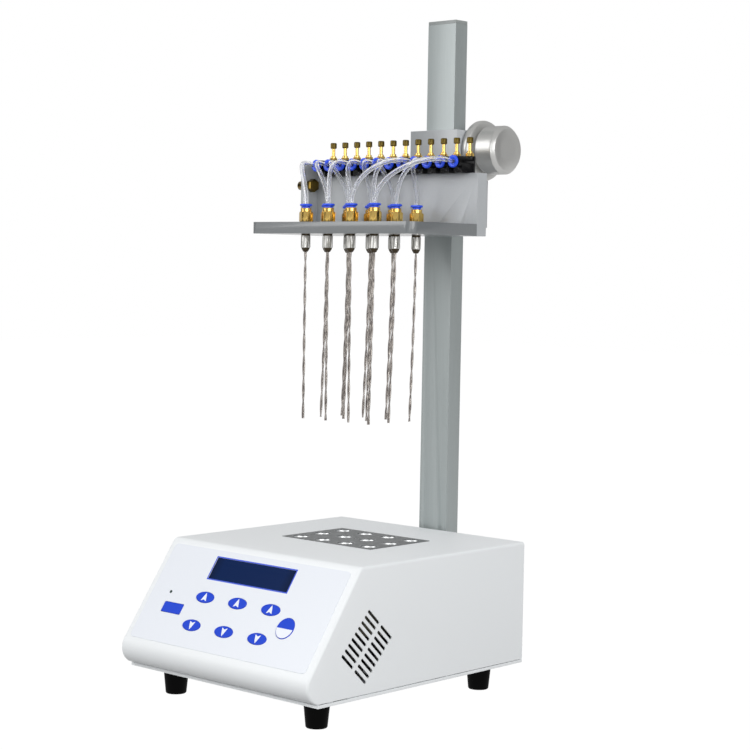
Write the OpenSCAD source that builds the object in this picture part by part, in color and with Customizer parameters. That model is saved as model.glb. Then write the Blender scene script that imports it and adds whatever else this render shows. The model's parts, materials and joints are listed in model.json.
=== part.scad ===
// Nitrogen sample evaporator: a heated block in a low sloped housing, with a
// gas head of twelve needles that a rack and pinion carries up a column.
// Millimetres, +Z up, the bench at z = 0. The sloped panel faces -Y.

/* [Housing] */
// Width of the housing
base_w = 220; // [212:1:260]
// Height of the housing above its feet
base_h = 104.7; // [96:0.1:120]
// Depth of the flat top, from the rear to the bend above the panel
top_d = 207; // [204:1:240]
// Angle of the sloped panel above the level
slope_angle = 55; // [52:1:58]
// Thickness of the cover's sheet metal
sheet_t = 1.5; // [1:0.1:2]
// Outside radius of the bend between the top and the panel
brow_r = 6; // [5:0.5:12]
// Outside radius of the bend under the panel
nose_r = 14; // [12:0.5:18]
// Radius of the long edges between the top and the sides
edge_r = 2.5; // [2:0.5:5]
// Depth of the return flange under the nose
return_d = 8; // [5:1:12]
// Thickness of the bottom plate
plate_t = 2.5; // [1.5:0.1:3]
// Shadow gap between the bottom plate and the cover
shadow_gap = 0.5; // [0.3:0.1:1]
// Height of the tray's side flanges
flange_h = 12; // [8:1:18]

/* [Feet and fasteners] */
// Height of a rubber foot
foot_h = 23.3; // [20:0.1:35]
// Radius of a foot at the housing
foot_top_r = 11; // [9:0.5:13]
// Radius of a foot at the bench
foot_low_r = 8.8; // [6:0.2:9]
// Distance of the feet's axes from the sides
foot_in = 27; // [26:1:35]
// Distance of the rear feet from the rear face
foot_rear = 26; // [22:1:34]
// Distance of the front feet from the housing's front
foot_front = 38.5; // [32:0.2:50]
// Radius of the housing screws' shanks
small_screw_r = 1.5; // [1:0.1:1.6]
// Radius of the housing screws' heads
small_head_r = 2.8; // [2.2:0.1:3]
// Height of the housing screws' heads
small_head_h = 1.8; // [1:0.1:2.5]
// Length of the cover screws under their heads
cover_screw_l = 8; // [6:0.5:10]
// Depth of the screws' recess in the feet
foot_recess = 17; // [8:1:17]
// Distance of the cover screws from the sides
cover_screw_in = 11; // [10:0.5:13]

/* [Side vents] */
// Slots in one column
vent_count = 9; // [5:1:9]
// Columns of slots in one side
vent_columns = 2; // [1:1:2]
// Distance between slots
vent_pitch = 5.4; // [5:0.1:5.6]
// Width of a slot
vent_w = 3; // [2:0.1:3.4]
// Length of a slot
vent_l = 17.5; // [12:0.5:18]
// Distance between the two columns
vent_column_pitch = 20.6; // [20:0.2:22]
// Tilt of the columns from the level
vent_tilt = 47; // [44:1:50]
// Depth of the pattern's middle, from the rear
vent_y = 199; // [195:1:202]
// Height of the pattern's middle above the feet
vent_z = 40.7; // [38:0.1:43]

/* [Panel] */
// Width of the printed overlay
overlay_w = 206; // [195:1:208]
// Margin of the overlay at both ends of the panel's flat
overlay_margin = 2.4; // [0.5:0.1:3]
// Thickness of the overlay
overlay_t = 0.5; // [0.3:0.1:0.8]
// Corner radius of the overlay
overlay_r = 4; // [2:0.5:6]
// Width of the display window
display_w = 92.4; // [80:0.4:96]
// Height of the display window
display_h = 19.8; // [16:0.2:22]
// Distance of the display's middle from the brow
display_s = 22; // [20:0.5:24]
// Distance between the key columns
key_pitch_x = 38.6; // [36:0.2:40]
// Distance of the upper keys from the brow
key_up_s = 49; // [47:0.5:50]
// Distance of the lower keys from the brow
key_down_s = 75; // [73:0.5:76]
// Width of an oval key
key_w = 21; // [16:0.5:22]
// Height of an oval key
key_h = 10; // [8:0.5:11]
// Diameter of the round key
round_key_d = 18.4; // [15:0.2:19]
// Place of the round key from the middle plane
round_key_x = 62.6; // [62:0.2:66]
// Distance of the round key from the brow
round_key_s = 61.8; // [60:0.2:64]
// Width of the long key
long_key_w = 23.2; // [18:0.4:24]
// Height of the long key
long_key_h = 9.4; // [8:0.2:10]
// Place of the long key from the middle plane, to the left
long_key_x = 69.8; // [68:0.2:72]
// Distance of the long key from the brow
long_key_s = 63.5; // [62:0.5:65]
// How far a key moves when it is pressed
key_travel = 0.4; // [0.2:0.05:0.6]
// How far a key stands above the overlay
key_proud = 0.4; // [0.2:0.05:0.8]
// Clearance between a key and its hole
key_gap = 0.25; // [0.2:0.05:0.4]
// Radius of the run lamp
lamp_r = 1.3; // [1:0.1:2]
// Place of the run lamp from the middle plane, to the left
lamp_x = 80.6; // [78:0.2:84]
// Distance of the run lamp from the brow
lamp_s = 49.7; // [48:0.1:51]

/* [Boards] */
// Thickness of the printed circuit boards
board_t = 1.6; // [1:0.1:2]
// Depth of the control board's face below the panel's face
board_drop = 5; // [4.8:0.1:6]
// Width of the control board
board_w = 186; // [180:1:192]
// Gap between a pressed key and its contact dome
dome_gap = 0.1; // [0.05:0.05:0.3]
// Radius of a contact dome
dome_r = 3; // [2:0.5:3.5]
// Width of the power board
power_w = 96; // [80:1:110]
// Depth of the power board
power_d = 58; // [50:1:60]
// Distance of the power board's middle from the rear
power_y = 186; // [184:1:190]
// Height of the power board's posts
power_post = 9; // [6:1:14]

/* [Heating block] */
// Width of the opening in the cover
opening_w = 104.4; // [101:0.2:110]
// Depth of the opening in the cover
opening_d = 76.4; // [73.5:0.1:80]
// Distance of the opening's middle from the rear
block_y = 96; // [94:1:100]
// Gap between the block and the opening's edge
block_gap = 0.4; // [0.3:0.05:0.8]
// Height of the block's top above the housing's top
block_rise = 0.4; // [-2:0.1:1]
// Height of the block
block_h = 52; // [46:1:54]
// Wells along X
well_nx = 4; // [2:1:4]
// Wells along Y
well_ny = 3; // [2:1:3]
// Distance between wells
well_pitch = 26.6; // [24:0.2:27]
// Diameter of a well
well_d = 14; // [10:0.5:16]
// Depth of a well
well_depth = 42; // [30:1:43]
// Radius of the threaded lifting hole
lift_hole_r = 2.1; // [1.5:0.1:3]
// Depth of the lifting hole
lift_hole_depth = 16; // [8:1:24]
// Wall of the block's seat
seat_wall = 3; // [2:0.5:4]
// Floor of the block's seat
seat_floor = 6; // [5:0.5:8]
// Clearance between the block and its seat
seat_gap = 0.3; // [0.2:0.05:0.6]
// Distance of the seat's rim below the cover
rim_drop = 0.5; // [0.3:0.1:2]
// Thickness of the heater
heater_t = 5; // [3:0.5:6]
// Margin of the heater inside the seat's outline
heater_margin = 6; // [3:0.5:12]
// Thickness of the insulation
jacket_t = 8; // [5:0.5:10]
// Radius of the pillars under the insulation
pillar_r = 5; // [3:0.5:7]
// Radius of the temperature probe
probe_r = 1.5; // [1:0.1:2]
// Length of the temperature probe
probe_l = 55; // [30:1:70]
// Clearance round a probe, a lamp or a screw
hole_gap = 0.15; // [0.1:0.05:0.3]

/* [Mains inlet and switch] */
// Distance of the mains inlet's middle from the left side
inlet_in = 44; // [40:1:50]
// Height of the mains inlet and the switch above the feet
rear_parts_z = 39.7; // [38:0.1:45]
// Width of the inlet's flange
inlet_w = 31; // [29:0.5:34]
// Height of the inlet's flange
inlet_h = 24; // [23:0.5:26]
// Width of the plug's recess
socket_w = 24.4; // [24:0.1:25]
// Height of the plug's recess
socket_h = 16.8; // [16.5:0.1:17]
// Depth of the plug's recess
socket_depth = 16; // [15:0.5:18]
// Length of the inlet's contact blades
blade_l = 10; // [8:0.5:10]
// Wall of the inlet's body
inlet_wall = 1.4; // [1:0.1:2]
// Thickness of the flanges on the rear panel
rear_flange_t = 2; // [1:0.5:3]
// Distance of the switch's middle from the right side
switch_in = 48; // [40:1:54]
// Width of the rocker
rocker_w = 10; // [8:0.5:14]
// Half height of the rocker
rocker_half = 8; // [7:0.5:9]
// How far the rocker tips
rocker_swing = 20; // [14:1:24]
// Clearance between the rocker and its frame
rocker_gap = 0.4; // [0.3:0.1:0.6]

/* [Column] */
// Height of the column's top above the bench
column_top = 583; // [540:1:640]
// Height of the column's foot above the bench
column_foot = 36; // [32:1:46]
// Width of the column
column_w = 32; // [31:0.5:36]
// Depth of the column
column_d = 16; // [15.5:0.5:18]
// Wall of the column
column_wall = 2; // [1.5:0.1:2.5]
// Thickness of the bracket between the housing and the column
bracket_t = 6; // [4:0.5:9]
// Width of the bracket
bracket_w = 50; // [44:1:60]
// Height of the bracket
bracket_h = 86; // [70:1:88]
// Thickness of the column's end cap
cap_t = 3; // [2:0.5:5]
// Radius of the column bolts
bolt_r = 2.5; // [2:0.1:3]
// Distance between the column bolts across
bolt_x = 18; // [17:0.5:20]
// Distance between the column bolts up and down
bolt_z = 56; // [40:1:60]

/* [Rack and pinion] */
// Module of the teeth
tooth_m = 1; // [0.9:0.05:1.1]
// Teeth on the pinion
pinion_teeth = 16; // [16:1:18]
// Width of the rack
rack_w = 10; // [8:0.5:11]
// Depth of the rack's channel in the column
channel_d = 8; // [7:0.5:9]
// Distance of the rack's tips inside the column's rear face
rack_sink = 0.4; // [0.2:0.1:1]
// Side clearance of the rack in its channel
rack_gap = 0.1; // [0.05:0.05:0.2]
// Play between the teeth
tooth_play = 0.16; // [0.1:0.02:0.3]
// Radius of the pinion's shaft
shaft_r = 4; // [3:0.1:5]
// Running clearance of the shaft in its bushes
shaft_gap = 0.05; // [0.02:0.01:0.1]
// Travel of the head below its shown height
travel_down = 88; // [60:1:88]
// Travel of the head above its shown height
travel_up = 90; // [60:1:90]

/* [Carriage] */
// Width of the carriage
carriage_w = 54; // [50:0.5:60]
// Height of the carriage
carriage_h = 85.3; // [85:0.1:92]
// Height of the carriage's top above the bench
carriage_top = 485.3; // [480:0.1:486]
// Wall of the carriage in front of the column
carriage_front = 9; // [6:0.5:12]
// Depth of the carriage behind the column
carriage_rear = 20; // [18:0.5:24]
// Sliding clearance on the column
slide_gap = 0.2; // [0.1:0.05:0.4]
// Height of the pinion's axis below the carriage's top
pinion_drop = 17.3; // [14:0.1:20]
// Wall of a shaft bush
bush_wall = 2; // [1.5:0.1:3]
// Width of the pocket round the pinion
pocket_w = 14; // [13:0.5:16]

/* [Knob] */
// Radius of the knob's inner flange
knob_flange_r = 26.8; // [24:0.2:30]
// Thickness of the inner flange
knob_flange_t = 7; // [5:0.5:9]
// Radius of the knob's waist
knob_waist_r = 18.6; // [16:0.2:20]
// Radius of the knob's grip
knob_grip_r = 21.5; // [20:0.1:24]
// Length of the knob
knob_l = 31.5; // [30:0.5:40]
// Radius of the knob's flat face
knob_face_r = 18.4; // [14:0.2:19]
// Length of the grip
knob_grip_l = 20; // [15:0.5:20]
// Chamfer length at the face
knob_chamfer = 3; // [1:0.5:4]
// Gap between the knob and the carriage
knob_gap = 1.2; // [0.8:0.1:2]
// Radius of the knob's set screw
set_screw_r = 2; // [1.5:0.1:2.5]
// Angle of the set screw round the knob
set_screw_angle = 200; // [190:1:210]

/* [Gas head] */
// Width of the gas head
head_w = 188; // [180:1:200]
// Height of the needle plate's underside above the bench
head_z = 390.3; // [389:0.1:392]
// Thickness of the needle plate
needle_plate_t = 10; // [8:0.5:12]
// Distance of the needle plate's front edge from the housing's rear
head_front = 137.7; // [136:0.1:142]
// Radius of the needle plate's front corners
head_corner_r = 8; // [4:0.5:14]
// Thickness of the gas chamber
chamber_t = 12; // [11:0.5:14]
// Height of the gas chamber
chamber_h = 53; // [50:0.5:56]
// Distance of the chamber's front face from the housing's rear
chamber_front = 54; // [53:0.5:55]
// Radius of the gas gallery in the chamber
gallery_r = 3; // [2:0.1:3.5]
// Depth of the gallery below the chamber's top
gallery_drop = 8; // [8:0.5:9]
// Thickness of the plate that holds the gas inlet
inlet_plate_t = 4; // [3:0.5:5]
// Reach of the inlet plate in front of the chamber
inlet_plate_reach = 16.5; // [15:0.5:18]
// Height of the inlet plate above the chamber
inlet_plate_rise = 12.5; // [9:0.5:16]
// Corner radius of the inlet plate
inlet_plate_r = 7; // [3:0.5:9]
// Width of the arm's flange on the chamber
arm_front_w = 60; // [50:1:70]
// Height of the arm
arm_h = 40; // [34:1:42]
// Height of the arm above the needle plate's underside
arm_rise = 11; // [10:0.5:12]
// Thickness of the arm's flanges
arm_flange = 6; // [5:0.5:7]
// Width of the arm's web
arm_web = 14; // [8:1:16]

/* [Valves] */
// Flow valves along the chamber
valve_count = 12; // [6:1:12]
// Distance between valves
valve_pitch = 14.5; // [14:0.1:15]
// Radius of a valve's body
valve_r = 5; // [4:0.1:5.5]
// Height of a valve's body
valve_h = 14.3; // [13:0.1:16]
// Length of a valve's outlet from its axis
outlet_l = 19.5; // [16:0.5:24]
// Radius of a valve's outlet
outlet_r = 5.1; // [4.8:0.1:5.4]
// Radius of a lock nut
valve_nut_r = 3.6; // [3:0.1:4.2]
// Height of a lock nut
valve_nut_h = 4.3; // [3:0.1:5]
// Radius of a valve screw's stem
stem_r = 1.5; // [1:0.1:1.8]
// Length of the stem between the nut and the head
stem_l = 6.8; // [3:0.1:9]
// Radius of a valve screw's head
screw_head_r = 2.9; // [2.2:0.1:3.4]
// Height of a valve screw's head
screw_head_h = 5.2; // [3:0.1:6]

/* [Fittings and needles] */
// Width across the flats of a needle fitting
hex_af = 10.6; // [9:0.1:12]
// Height of a needle fitting's hexagon
hex_h = 12.2; // [10:0.2:14]
// Radius of a fitting's thread
thread_r = 2.9; // [2.4:0.1:3.4]
// Outside radius of a push-in collar
collar_r = 5.4; // [4:0.1:5.6]
// Length of a push-in collar
collar_l = 3.6; // [2.5:0.1:5]
// Radius of a needle chuck
chuck_r = 4.1; // [3.6:0.1:4.8]
// Height of a needle chuck's barrel
chuck_h = 11.8; // [10:0.2:14]
// Height of a needle chuck's cone
cone_h = 3.5; // [2:0.1:5]
// Radius of a needle
needle_r = 1.3; // [0.8:0.1:1.6]
// Radius of a needle's bore
needle_bore = 0.5; // [0.3:0.1:0.6]
// Length of a needle below its chuck
needle_l = 144; // [120:1:144]
// Outside radius of the gas tubes
tube_r = 2; // [1.5:0.1:2.4]
// Forward throw of a gas tube as it leaves its valve
tube_throw = 30; // [24:1:36]
// Rise of a gas tube as it leaves its valve
tube_rise = 7; // [4:1:12]
// Upward pull of a gas tube above its fitting
tube_pull = 26; // [18:1:30]
// Radius of the gas inlet's hose spigot
spigot_r = 4; // [3:0.1:4.5]
// Length of the gas inlet's hose spigot
spigot_l = 9; // [7:0.5:11]
// Radius of the gas inlet's shank in its plate
shank_r = 4.6; // [4.5:0.1:5]
// Half width of the gas inlet's nut
gland_r = 6; // [5:0.2:6.4]
// Thickness of the gas inlet's nut
gland_t = 5; // [4:0.5:7]

/* [Hidden] */
$fn = 48;
e = 0.01;

paint_white = "whitesmoke";
paint_grey = "darkgray";
key_blue = "royalblue";
brass_gold = "goldenrod";
bare_metal = "silver";
black_plastic = "#202022";

// heights of the housing
tray_top = foot_h + plate_t;
cover_low = tray_top + shadow_gap;
top_z = foot_h + base_h;
inner_w = base_w - 2 * sheet_t;
fit_gap = 0.3;

// the side profile of the cover: two bends, each about its own centre
brow_y = -top_d + brow_r * tan(slope_angle / 2);
brow_z = top_z - brow_r;
toe_y = -top_d - (top_z - cover_low) / tan(slope_angle);
nose_y = toe_y + nose_r / tan(slope_angle / 2);
nose_z = cover_low + nose_r;
housing_front = -nose_y + nose_r;

// lugs inside the cover take the cover screws
foot_x = base_w / 2 - foot_in;
foot_ys = [-foot_rear, foot_front - housing_front];
cover_screw_x = base_w / 2 - cover_screw_in;
lug_w = 14;
lug_h = 5;
lug_in = cover_screw_in + 4;

// the parts on the power board: [x, y] of a corner and the size
transformer = [[-40, -18], [32, 28, 24]];
relay = [[18, -12], [10, 20, 15]];
capacitor_at = [4, -8];
capacitor_r = 8;
capacitor_h = 22;
fin_at = [34, -20];
fin_size = [8, 3, 24];
fin_count = 4;
fin_pitch = 10;
power_hole_x = power_w / 2 - 4;
power_hole_y = power_d / 2 - 4;
post_r = 3;

// the panel: its flat runs from panel_s0 to panel_s1 down the slope
panel_s0 = brow_r * tan(slope_angle / 2);
panel_s1 = (top_z - cover_low) / sin(slope_angle) - nose_r / tan(slope_angle / 2);
overlay_l = panel_s1 - panel_s0 - 2 * overlay_margin;
overlay_mid = (panel_s0 + panel_s1) / 2;
long_key_pos = [-long_key_x, long_key_s];
round_key_pos = [round_key_x, round_key_s];
key_flange = 1;
key_corner_r = 1;
key_flange_t = 0.9;
key_foot = -sheet_t - fit_gap - key_flange_t;
dome_h = board_drop + key_foot - key_travel - dome_gap;
board_s0 = panel_s0 + 4;
board_s1 = panel_s1 - 6;
stud_x = board_w / 2 - 5;
stud_s0 = board_s0 + 4;
stud_s1 = board_s1 - 4;
stud_r = 2.5;
display_body_w = display_w + 6;
display_body_h = display_h + 5;

// the block and its seat
block_w = opening_w - 2 * block_gap;
block_d = opening_d - 2 * block_gap;
block_top = top_z + block_rise;
block_z = block_top - block_h;
seat_in_w = block_w + 2 * seat_gap;
seat_in_d = block_d + 2 * seat_gap;
seat_w = seat_in_w + 2 * seat_wall;
seat_d = seat_in_d + 2 * seat_wall;
seat_z = block_z - seat_floor;
seat_top = top_z - sheet_t - rim_drop;
heater_z = seat_z - heater_t;
jacket_z = heater_z - jacket_t;
jacket_w = seat_w + 2 * jacket_t;
jacket_d = seat_d + 2 * jacket_t;
jacket_top = seat_top - 2;
jacket_foot_x = jacket_w / 2 - 2 * pillar_r;
jacket_foot_y = jacket_d / 2 - 2 * pillar_r;
probe_z = seat_z + seat_floor / 2;

// the rear panel
rear_z = foot_h + rear_parts_z;
inlet_x = base_w / 2 - inlet_in;
switch_x = base_w / 2 - switch_in;
panel_gap = 0.2;
blade_w = 2;
blade_h = 4;
blade_at = [[-7, -2], [0, 2], [7, -2]];
socket_body_w = socket_w + 2 * inlet_wall;
socket_body_h = socket_h + 2 * inlet_wall;
switch_in_w = rocker_w + 2 * rocker_gap;
switch_in_h = 2 * rocker_half + 2 * rocker_gap + 1.4;
switch_body_w = switch_in_w + 2 * inlet_wall;
switch_body_h = switch_in_h + 2 * inlet_wall;
switch_depth = rocker_half + 4;
switch_flange = 1.6;
rocker_y = -1;

// the column
column_y0 = bracket_t;
column_y1 = column_y0 + column_d;
column_end = column_top - cap_t;
channel_half = rack_w / 2 + rack_gap;
bracket_z = column_foot;
bolt_mid_z = column_foot + bracket_h / 2;

// the rack and pinion
pitch_r = tooth_m * pinion_teeth / 2;
tooth_pitch = PI * tooth_m;
pressure_angle = 20;
addendum = 0.9 * tooth_m;
dedendum = 1.25 * tooth_m;
pinion_tip_r = pitch_r + addendum;
rack_tip_y = column_y1 - rack_sink;
rack_line_y = rack_tip_y - addendum;
pinion_y = rack_line_y + pitch_r;
pinion_z = carriage_top - pinion_drop;
rack_margin = 14;
rack_below = ceil((travel_down + rack_margin) / tooth_pitch);
rack_above = floor((min(travel_up + rack_margin, column_end - pinion_z - 4)) / tooth_pitch);

// the carriage
carriage_z = carriage_top - carriage_h;
carriage_y0 = column_y0 - carriage_front;
carriage_y1 = column_y1 + carriage_rear;
small_bush_r = shaft_r + bush_wall;
big_bush_r = pinion_tip_r + 0.6;
pocket_r = pinion_tip_r + 1;
big_bush_x = column_w / 2 + slide_gap + fit_gap;

// the knob
knob_x = carriage_w / 2 + knob_gap;
knob_end = knob_x + knob_l;
shaft_end = knob_end - knob_chamfer - 6;
set_screw_x = knob_x + knob_flange_t + 3;

// the gas head
plate_top = head_z + needle_plate_t;
chamber_top = head_z + chamber_h;
chamber_rear = chamber_front - chamber_t;
valve_y = -(chamber_front - chamber_t / 2);
gallery_z = chamber_top - gallery_drop;
arm_z = head_z + arm_rise;
arm_holes = [0.2, 0.52];
arm_rear_x = carriage_w * 0.3;
arm_front_x = arm_front_w * 0.35;
gallery_end = 8;
head_hole_x = [-0.4, -0.25, 0.25, 0.4];
end_holes = [10, 24];
gland_y = -(chamber_front + inlet_plate_reach / 2);
plate_mid_x = -head_w / 2 - inlet_plate_t / 2;
passage_r = 1.2;
valve_x0 = -(valve_count - 1) * valve_pitch / 2;
outlet_end = valve_y - outlet_l;
outlet_z = valve_h - outlet_r - 0.1;
outlet_mid_z = chamber_top + outlet_z;
valve_top = chamber_top + valve_h;
valve_thread_r = 2.4;
valve_thread_l = gallery_drop - gallery_r - 0.4;
stem_dip = 6;
stem_guide = stem_dip + 2;
nut_hex_h = valve_nut_h * 0.6;
nut_neck_r = valve_nut_r * 0.72;

// the needles stand over the wells
row_mid = -(well_ny - 1) / 2;
col_mid = -(well_nx - 1) / 2;
chuck_z = head_z - chuck_h;
needle_top = chuck_z - cone_h;
collar_hole_r = tube_r + 0.1;

// what stands behind the housing sets the middle of the footprint
rear_reach = pinion_y + knob_flange_r;
rear_y = (housing_front - rear_reach) / 2;

// the head's screws
screw_r = 2;
screw_cap_r = 3.5;
screw_cap_h = 4;
screw_l = 12;

function well_x(i) = (i + col_mid) * well_pitch;
function well_y(j) = -block_y + (j + row_mid) * well_pitch;
function valve_x(i) = valve_x0 + i * valve_pitch;

// the children at every well, at height z
module at_wells(z) {
    for (i = [0:well_nx - 1], j = [0:well_ny - 1])
        translate([well_x(i), well_y(j), z])
            children();
}

// the children at every valve, at height z
module at_valves(z) {
    for (i = [0:valve_count - 1])
        translate([valve_x(i), valve_y, z])
            children();
}

// moves the children from the housing's rear face to the part's own origin
module from_rear() {
    translate([0, rear_y, 0])
        children();
}

// the panel's frame: x across, y up the slope from the brow, z out of the panel
module on_slope() {
    from_rear()
        translate([0, -top_d, top_z])
            rotate([slope_angle, 0, 0])
                children();
}

// extrudes a drawing of the (y, z) plane across the width w about x = mid
module across(w, mid = 0) {
    translate([mid - w / 2, 0, 0])
        rotate([90, 0, 90])
            linear_extrude(w)
                children();
}

// a cylinder along Y from y0 to y1
module rod_y(r, y0, y1) {
    translate([0, y1, 0])
        rotate([90, 0, 0])
            cylinder(h = y1 - y0, r = r);
}

// a cylinder along X from x0 to x1
module rod_x(r, x0, x1) {
    translate([x0, 0, 0])
        rotate([0, 90, 0])
            cylinder(h = x1 - x0, r = r);
}

// a box about x = 0 from y0 to y1 and z0 to z1
module slab(w, y0, y1, z0, z1) {
    translate([-w / 2, y0, z0])
        cube([w, y1 - y0, z1 - z0]);
}

// a rectangle with round corners
module soft_rect(w, h, r) {
    square([w - 2 * r, h], center = true);
    square([w, h - 2 * r], center = true);
    for (sx = [-1, 1], sy = [-1, 1])
        translate([sx * (w / 2 - r), sy * (h / 2 - r)])
            circle(r);
}

// an oval of width w and height h
module oval(w, h) {
    sides = 40;
    polygon([for (i = [0:sides - 1]) [w / 2 * cos(360 * i / sides), h / 2 * sin(360 * i / sides)]]);
}

// the cover's side profile, inset by t
module cover_profile(t) {
    turn = slope_angle;
    top = [brow_y, brow_z + brow_r - t];
    brow = [brow_y - (brow_r - t) * sin(turn), brow_z + (brow_r - t) * cos(turn)];
    nose = [nose_y - (nose_r - t) * sin(turn), nose_z + (nose_r - t) * cos(turn)];
    low = [nose_y, nose_z - nose_r + t];
    polygon([[0, cover_low + t], [0, top_z - t], top, brow, nose, low]);
    translate([brow_y, brow_z])
        circle(brow_r - t);
    translate([nose_y, nose_z])
        circle(nose_r - t);
}

// the front view of the cover, with its long top edges rounded
module cover_front(w, top, r) {
    translate([-w / 2, cover_low - 1])
        square([w, top - r - cover_low + 1]);
    translate([-w / 2 + r, cover_low - 1])
        square([w - 2 * r, top - cover_low + 1]);
    for (s = [-1, 1])
        translate([s * (w / 2 - r), top - r])
            circle(r);
}

// the cover's body, inset by t
module cover_body(t) {
    intersection() {
        across(base_w - 2 * t)
            cover_profile(t);
        translate([0, 1, 0])
            rotate([90, 0, 0])
                linear_extrude(housing_front + 2)
                    cover_front(base_w - 2 * t, top_z - t, edge_r - t / 2);
    }
}

module vent_slots() {
    for (side = [-1, 1])
        translate([side * base_w / 2, -vent_y, foot_h + vent_z])
            rotate([vent_tilt, 0, 0])
                for (c = [0:vent_columns - 1], i = [0:vent_count - 1])
                    translate([
                        0,
                        (i - (vent_count - 1) / 2) * vent_pitch,
                        (c - (vent_columns - 1) / 2) * vent_column_pitch
                    ])
                        cube([4 * sheet_t, vent_w, vent_l], center = true);
}

// the outlines of all keys, grown by g
module key_outlines(g) {
    for (i = [-1:1], s = [key_up_s, key_down_s])
        translate([i * key_pitch_x, -s])
            oval(key_w + 2 * g, key_h + 2 * g);
    translate([round_key_pos[0], -round_key_pos[1]])
        circle(round_key_d / 2 + g);
    translate([long_key_pos[0], -long_key_pos[1]])
        soft_rect(long_key_w + 2 * g, long_key_h + 2 * g, key_corner_r);
}

// every hole of the panel
module panel_holes() {
    key_outlines(key_gap);
    translate([0, -display_s])
        square([display_w, display_h], center = true);
    translate([-lamp_x, -lamp_s])
        circle(lamp_r + hole_gap);
}

// bent and welded sheet: the top, the sloped panel and both sides
module top_cover() {
    color(paint_white) {
        from_rear()
            difference() {
                cover_body(0);
                cover_body(sheet_t);
                slab(inner_w, -sheet_t - e, e, cover_low - e, top_z - sheet_t);
                slab(inner_w, nose_y + return_d, e, cover_low - e, cover_low + sheet_t + e);
                translate([0, -block_y, top_z])
                    cube([opening_w, opening_d, 4 * sheet_t], center = true);
                vent_slots();
                translate([0, -top_d, top_z])
                    rotate([slope_angle, 0, 0])
                        translate([0, 0, -sheet_t - 1])
                            linear_extrude(sheet_t + 2)
                                panel_holes();
            }
        from_rear()
            for (side = [0, 1], y = foot_ys)
                mirror([side, 0, 0])
                    difference() {
                        translate([base_w / 2 - lug_in, y - lug_w / 2, cover_low])
                            cube([lug_in - sheet_t + e, lug_w, lug_h]);
                        translate([cover_screw_x, y, cover_low - 1])
                            cylinder(h = lug_h + 2, r = small_screw_r + hole_gap);
                    }
        on_slope()
            for (x = [-stud_x, stud_x], s = [stud_s0, stud_s1])
                translate([x, -s, -board_drop])
                    difference() {
                        cylinder(h = board_drop - sheet_t / 2, r = stud_r);
                        translate([0, 0, -1])
                            cylinder(h = board_drop - sheet_t, r = small_screw_r + hole_gap);
                    }
    }
}

// the rear panel's hole for a body of width w and height h
module rear_cut(x, w, h) {
    translate([x, 0, rear_z])
        cube([w + 2 * panel_gap, 4 * sheet_t, h + 2 * panel_gap], center = true);
}

// folded sheet: bottom, rear panel and low side flanges, with posts for what it carries
module chassis_tray() {
    side = inner_w / 2 - fit_gap;
    front = nose_y + return_d + 2;
    color(paint_white)
        from_rear() {
            difference() {
                union() {
                    slab(base_w, nose_y - 2, 0, foot_h, tray_top);
                    slab(2 * side, -sheet_t, 0, tray_top - e, top_z - sheet_t - fit_gap);
                    for (s = [-1, 1])
                        translate([s * (side - sheet_t / 2), 0, 0])
                            slab(sheet_t, front, -sheet_t + e, tray_top - e, tray_top + flange_h);
                }
                rear_cut(-inlet_x, socket_body_w, socket_body_h);
                rear_cut(switch_x, switch_body_w, switch_body_h);
                for (x = [-1, 1], z = [-1, 1])
                    translate([x * bolt_x / 2, 0, bolt_mid_z + z * bolt_z / 2])
                        rod_y(bolt_r + hole_gap, -sheet_t - 1, 1);
                for (x = [-1, 1], y = foot_ys) {
                    translate([x * (base_w / 2 - lug_in / 2), y, tray_top + flange_h / 2 + e])
                        cube([lug_in + 2, lug_w + 2, flange_h + 2 * e], center = true);
                    for (hole_x = [foot_x, cover_screw_x])
                        translate([x * hole_x, y, foot_h - 1])
                            cylinder(h = plate_t + 2, r = small_screw_r + hole_gap);
                }
            }
            for (x = [-1, 1], y = [-1, 1]) {
                translate([x * jacket_foot_x, -block_y + y * jacket_foot_y, tray_top - e])
                    cylinder(h = jacket_z - tray_top + e, r = pillar_r);
                translate([x * power_hole_x, -power_y + y * power_hole_y, tray_top - e])
                    difference() {
                        cylinder(h = power_post + e, r = post_r);
                        translate([0, 0, 2])
                            cylinder(h = power_post, r = small_screw_r + hole_gap);
                    }
            }
        }
}

// printed film on the panel
module front_overlay() {
    color("aliceblue")
        on_slope()
            linear_extrude(overlay_t)
                difference() {
                    translate([0, -overlay_mid])
                        soft_rect(overlay_w, overlay_l, overlay_r);
                    panel_holes();
                }
}

// character display: a frame on the control board and its glass in the window
module display_module() {
    glass_gap = 0.15;
    color("midnightblue")
        on_slope()
            translate([0, -display_s, -board_drop]) {
                linear_extrude(board_drop - sheet_t)
                    square([display_body_w, display_body_h], center = true);
                linear_extrude(board_drop + overlay_t / 2)
                    square([display_w - 2 * glass_gap, display_h - 2 * glass_gap], center = true);
            }
}

// the board behind the panel, with one dome under each key
module control_board() {
    color("darkgreen")
        on_slope()
            translate([0, 0, -board_drop - board_t]) {
                difference() {
                    translate([-board_w / 2, -board_s1, 0])
                        cube([board_w, board_s1 - board_s0, board_t]);
                    for (x = [-stud_x, stud_x], s = [stud_s0, stud_s1])
                        translate([x, -s, -1])
                            cylinder(h = board_t + 2, r = small_screw_r + hole_gap);
                }
                for (i = [-1:1], s = [key_up_s, key_down_s])
                    translate([i * key_pitch_x, -s, board_t - e])
                        cylinder(h = dome_h + e, r = dome_r);
                for (p = [round_key_pos, long_key_pos])
                    translate([p[0], -p[1], board_t - e])
                        cylinder(h = dome_h + e, r = dome_r);
            }
}

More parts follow.
